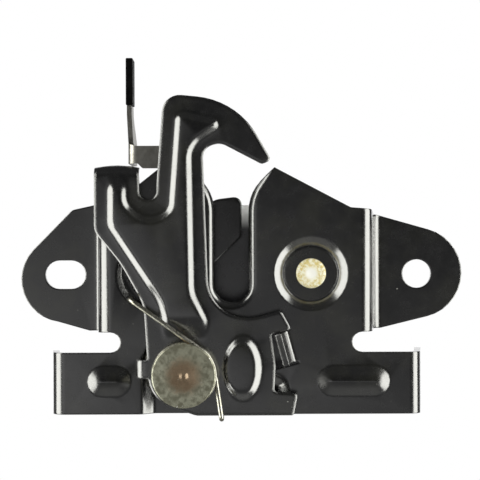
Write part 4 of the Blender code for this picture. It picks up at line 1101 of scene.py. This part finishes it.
@dataclass
class CoilSpring:
    """A torsion spring hidden behind the plate: its coil, and two legs that each hook over something."""

    node: str
    centre: tuple[float, float]
    wire: float
    radius: float
    start: float
    turns: float
    low: float
    high: float
    foot_length: float
    foot_step: tuple[float, float]
    foot_heights: tuple[float, float, float]
    tip_length: float
    tip_step: tuple[float, float]
    tip_heights: tuple[float, float, float]
    pushes: Body
    tip: tuple[float, float]
    reach: tuple[float, float]
    bend: float = 0.9

    def build(self) -> bpy.types.Object:
        """Builds the wire: the first leg from its foot, the coil, and the second leg to its tip.

        Returns:
            The object.
        """
        coil = helix(self.centre, self.radius, self.start, self.turns, self.low, self.high)
        foot = tangent_leg(coil[0], self.start, -self.foot_length)
        tip = tangent_leg(coil[-1], self.start + 360.0 * self.turns, self.tip_length)
        first, middle, last = self.foot_heights
        rise = [(*foot, first), (*foot, middle), (*(foot + self.foot_step), last), tuple(coil[0])]
        first, middle, last = self.tip_heights
        fall = [tuple(coil[-1]), (*(tip + self.tip_step), first), (*tip, middle), (*tip, last)]
        path = np.vstack([rounded_path(rise, self.bend), coil[1:-1], rounded_path(fall, self.bend)])
        return Wire(f"{self.node}_wound", path, self.wire).build()


@dataclass
class SpringSet:
    """The hook's spring in front and the two springs behind the plate."""

    hook_wire: float = 1.45
    hook_radius: float = 9.3
    hook_start: float = 8.0
    hook_turns: float = 2 + 47 / 360
    hook_low: float = 25.925
    hook_high: float = 29.6325
    foot: tuple[float, float] = (-3.1586, -43.875)
    foot_back: float = 15.5
    tip: tuple[float, float] = (-30.9552, -7.0248)
    tip_back: float = 22.2
    tip_bends: tuple[tuple[float, float, float], ...] = (
        (1.2, -0.8, -1.2), (0.0, 0.0, -2.2), (-0.1, 0.1, -3.6),
    )
    middle_sag: float = 0.3
    foot_bend: float = 1.5
    tip_bend: float = 1.2
    hook_reach: tuple[float, float] = (6.0, 24.0)
    hidden: list[CoilSpring] = field(default_factory=lambda: [
        CoilSpring(
            node="catch_spring", centre=PIVOT, wire=1.4, radius=6.9,
            start=300.0, turns=2 + 105 / 360, low=5.1, high=8.5,
            foot_length=9.2, foot_step=(0.9, 0.5), foot_heights=(1.4, 4.1, 5.1),
            tip_length=18.0, tip_step=(0.7, -0.7), tip_heights=(8.5, 9.5, 11.8),
            pushes=Body.CATCH, tip=(-22.35, -12.3), reach=(6.0, 16.0),
        ),
        CoilSpring(
            node="lever_spring", centre=LEVER_PIVOT, wire=1.2, radius=5.9,
            start=90.0, turns=2 + 150 / 360, low=5.0, high=8.6,
            foot_length=10.8, foot_step=(-0.9, 0.0), foot_heights=(1.6, 4.1, 5.0),
            tip_length=9.6, tip_step=(-0.8, 0.45), tip_heights=(8.6, 9.5, 11.7),
            pushes=Body.LEVER, tip=(30.1, -9.3), reach=(4.5, 9.8),
        ),
    ])

    def hook_spring(self) -> bpy.types.Object:
        """Builds the hook's spring: a foot over the plate's edge, the coil, and a tip on the hook.

        Returns:
            The object.
        """
        high = self.hook_high
        coil = helix(PIVOT, self.hook_radius, self.hook_start, self.hook_turns, self.hook_low, high)
        foot = [(*self.foot, self.foot_back), (*self.foot, self.hook_low), tuple(coil[0])]
        x, z = self.tip
        middle = (coil[-1][:2] + (x, z)) / 2
        tip = [tuple(coil[-1]), (*middle, high - self.middle_sag)]
        tip += [(x + right, z + up, high + out) for right, up, out in self.tip_bends]
        tip.append((*tip[-1][:2], self.tip_back))
        path = np.vstack([rounded_path(foot, self.foot_bend), coil[1:-1], rounded_path(tip, self.tip_bend)])
        return Wire("hook_spring_wound", path, self.hook_wire, sides=28).build()

    def dress(self, shop: Workshop) -> None:
        """Builds and places the three springs."""
        leg = MovingLeg(Body.HOOK, PIVOT, self.tip, self.hook_reach)
        shop.place(self.hook_spring(), Slot.SPRING_STEEL, Body.PLATE, "hook_spring", leg)
        for spring in self.hidden:
            leg = MovingLeg(spring.pushes, spring.centre, spring.tip, spring.reach)
            shop.place(spring.build(), Slot.SPRING_STEEL, Body.PLATE, spring.node, leg)


@dataclass
class Studio:
    """Pale floor, white surroundings, a large softbox on each side, and the camera."""

    camera_place: tuple[float, float, float] = (2.64, 11.04, 440.0)
    camera_roll: float = 0.2
    half_view: float = 74.4
    view_depth: float = 420.0
    clip_start: float = 0.01
    floor_z: float = -700.0
    floor_half: float = 3.0
    floor_tone: float = 0.3
    floor_roughness: float = 0.9
    floor_glow: float = 0.96
    ambient: float = 0.3
    room_dark: float = 0.015
    room_light: float = 0.52
    room_far: float = 0.05
    room_lean: float = 0.5
    room_reach: tuple[float, float] = (-0.36, 0.12)
    front_reach: tuple[float, float] = (-0.95, -0.70)
    behind_reach: tuple[float, float] = (0.70, 0.95)
    lamp_distance: float = 560.0
    lamp_azimuth: float = 69.0
    lamp_size: tuple[float, float] = (430.0, 980.0)
    lamp_radiance: float = 4.5
    lamp_color: tuple[float, float, float] = (1.0, 1.0, 0.94)

    def build(self) -> None:
        """Sets the whole stage."""
        self.camera()
        self.floor()
        self.world()
        turn = math.radians(self.lamp_azimuth)
        sideways = self.lamp_distance * math.sin(turn)
        ahead = self.lamp_distance * math.cos(turn)
        self.softbox("softbox_left", (-sideways, 0.0, ahead))
        self.softbox("softbox_right", (sideways, 0.0, ahead))
        bpy.context.scene.view_settings.view_transform = "Standard"

    def camera(self) -> None:
        """Puts the camera where the photograph was taken from."""
        data = bpy.data.cameras.new("camera")
        camera = bpy.data.objects.new("camera", data)
        bpy.context.scene.collection.objects.link(camera)
        camera.location = to_world(np.array([self.camera_place]))[0]
        camera.rotation_euler = (math.pi / 2, math.radians(self.camera_roll), 0.0)
        data.angle = 2 * math.atan(self.half_view / self.view_depth)
        data.clip_start = self.clip_start
        bpy.context.scene.camera = camera

    def floor(self) -> None:
        """Lays the pale floor, well below the picture."""
        size = self.floor_half
        corners = np.array([(-size, -size), (size, -size), (size, size), (-size, size)])
        mesh = bpy.data.meshes.new("floor")
        mesh.from_pydata([(x, y, self.floor_z * MM) for x, y in corners], [], [(0, 1, 2, 3)])
        floor = bpy.data.objects.new("floor", mesh)
        bpy.context.scene.collection.objects.link(floor)
        board = NodeBoard("floor")
        tone = self.floor_tone
        board.give("Base Color", (tone, tone, tone, 1.0))
        board.give("Roughness", self.floor_roughness)
        glow = board.tree.nodes.new("ShaderNodeEmission")
        path = board.tree.nodes.new("ShaderNodeLightPath")
        shown = computed(board.tree, "MULTIPLY", path.outputs["Is Camera Ray"], self.floor_glow)
        blend = board.tree.nodes.new("ShaderNodeMixShader")
        board.link(shown, blend.inputs["Fac"])
        board.link(board.shader.outputs["BSDF"], blend.inputs[1])
        board.link(glow.outputs["Emission"], blend.inputs[2])
        board.link(blend.outputs["Shader"], board.tree.nodes["Material Output"].inputs["Surface"])
        mesh.materials.append(board.material)

    def world(self) -> None:
        """Lights from all round at a plain level, white to the camera and dim where gloss looks ahead.

        Gloss and glass see the white background behind the latch. Straight ahead they see the room behind
        the camera, lighter towards its lower left, which follows minus the sum of half x and z, and past
        it the dark room.
        """
        world = bpy.data.worlds.new("surroundings")
        world.use_nodes = True
        tree = world.node_tree
        background = tree.nodes["Background"]
        background.inputs["Color"].default_value = (1.0, 1.0, 1.0, 1.0)
        path = tree.nodes.new("ShaderNodeLightPath")
        way = tree.nodes.new("ShaderNodeTexCoord").outputs["Generated"]
        parts = tree.nodes.new("ShaderNodeSeparateXYZ")
        tree.links.new(way, parts.inputs["Vector"])
        slope = computed(tree, "MULTIPLY_ADD", parts.outputs["X"], self.room_lean, parts.outputs["Z"])
        near = soft_step(tree, slope, self.room_reach, (self.room_light, self.room_dark))
        past = soft_step(tree, parts.outputs["Y"], self.front_reach, (0.0, 1.0))
        room = self.blended(tree, past, near, self.room_far)
        behind = soft_step(tree, parts.outputs["Y"], self.behind_reach, (0.0, 1.0))
        seen = self.blended(tree, behind, room, 1.0)
        rays = path.outputs["Is Glossy Ray"], path.outputs["Is Transmission Ray"]
        level = self.blended(tree, computed(tree, "MAXIMUM", *rays), self.ambient, seen)
        level = self.blended(tree, path.outputs["Is Camera Ray"], level, 1.0)
        tree.links.new(level, background.inputs["Strength"])
        bpy.context.scene.world = world

    @staticmethod
    def blended(
        tree: bpy.types.NodeTree,
        share: bpy.types.NodeSocket,
        first: bpy.types.NodeSocket | float,
        second: bpy.types.NodeSocket | float,
    ) -> bpy.types.NodeSocket:
        """Mixes two numbers or sockets by a share.

        Args:
            tree: The node tree that they are in.
            share: 0 for the first, 1 for the second.
            first: One value.
            second: The other.

        Returns:
            The mixed value.
        """
        node = tree.nodes.new("ShaderNodeMix")
        node.data_type = "FLOAT"
        tree.links.new(share, node.inputs["Factor"])
        feed(tree, node.inputs["A"], first)
        feed(tree, node.inputs["B"], second)
        return node.outputs["Result"]

    def softbox(self, name: str, place: tuple[float, float, float]) -> None:
        """Stands a large rectangular light that faces the latch.

        Args:
            name: The light's name.
            place: Its bench place.
        """
        data = bpy.data.lights.new(name, "AREA")
        data.shape = "RECTANGLE"
        data.size = self.lamp_size[0] * MM
        data.size_y = self.lamp_size[1] * MM
        data.energy = self.lamp_radiance * math.pi * data.size * data.size_y
        data.color = self.lamp_color
        light = bpy.data.objects.new(name, data)
        bpy.context.scene.collection.objects.link(light)
        light.location = to_world(np.array([place]))[0]
        light.rotation_euler = (-light.location).to_track_quat("-Z", "Y").to_euler()


def main() -> None:
    """Dresses the latch and sets the stage."""
    logging.basicConfig(level=logging.INFO, format="%(name)s: %(message)s")
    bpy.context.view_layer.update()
    Studio().build()
    shop = Workshop(make_finishes())
    PressedSet().dress(shop)
    PivotStack().dress(shop)
    SpringSet().dress(shop)
    LOG.info("%d pieces placed", len(shop.placed))


if __name__ == "__main__":
    main()
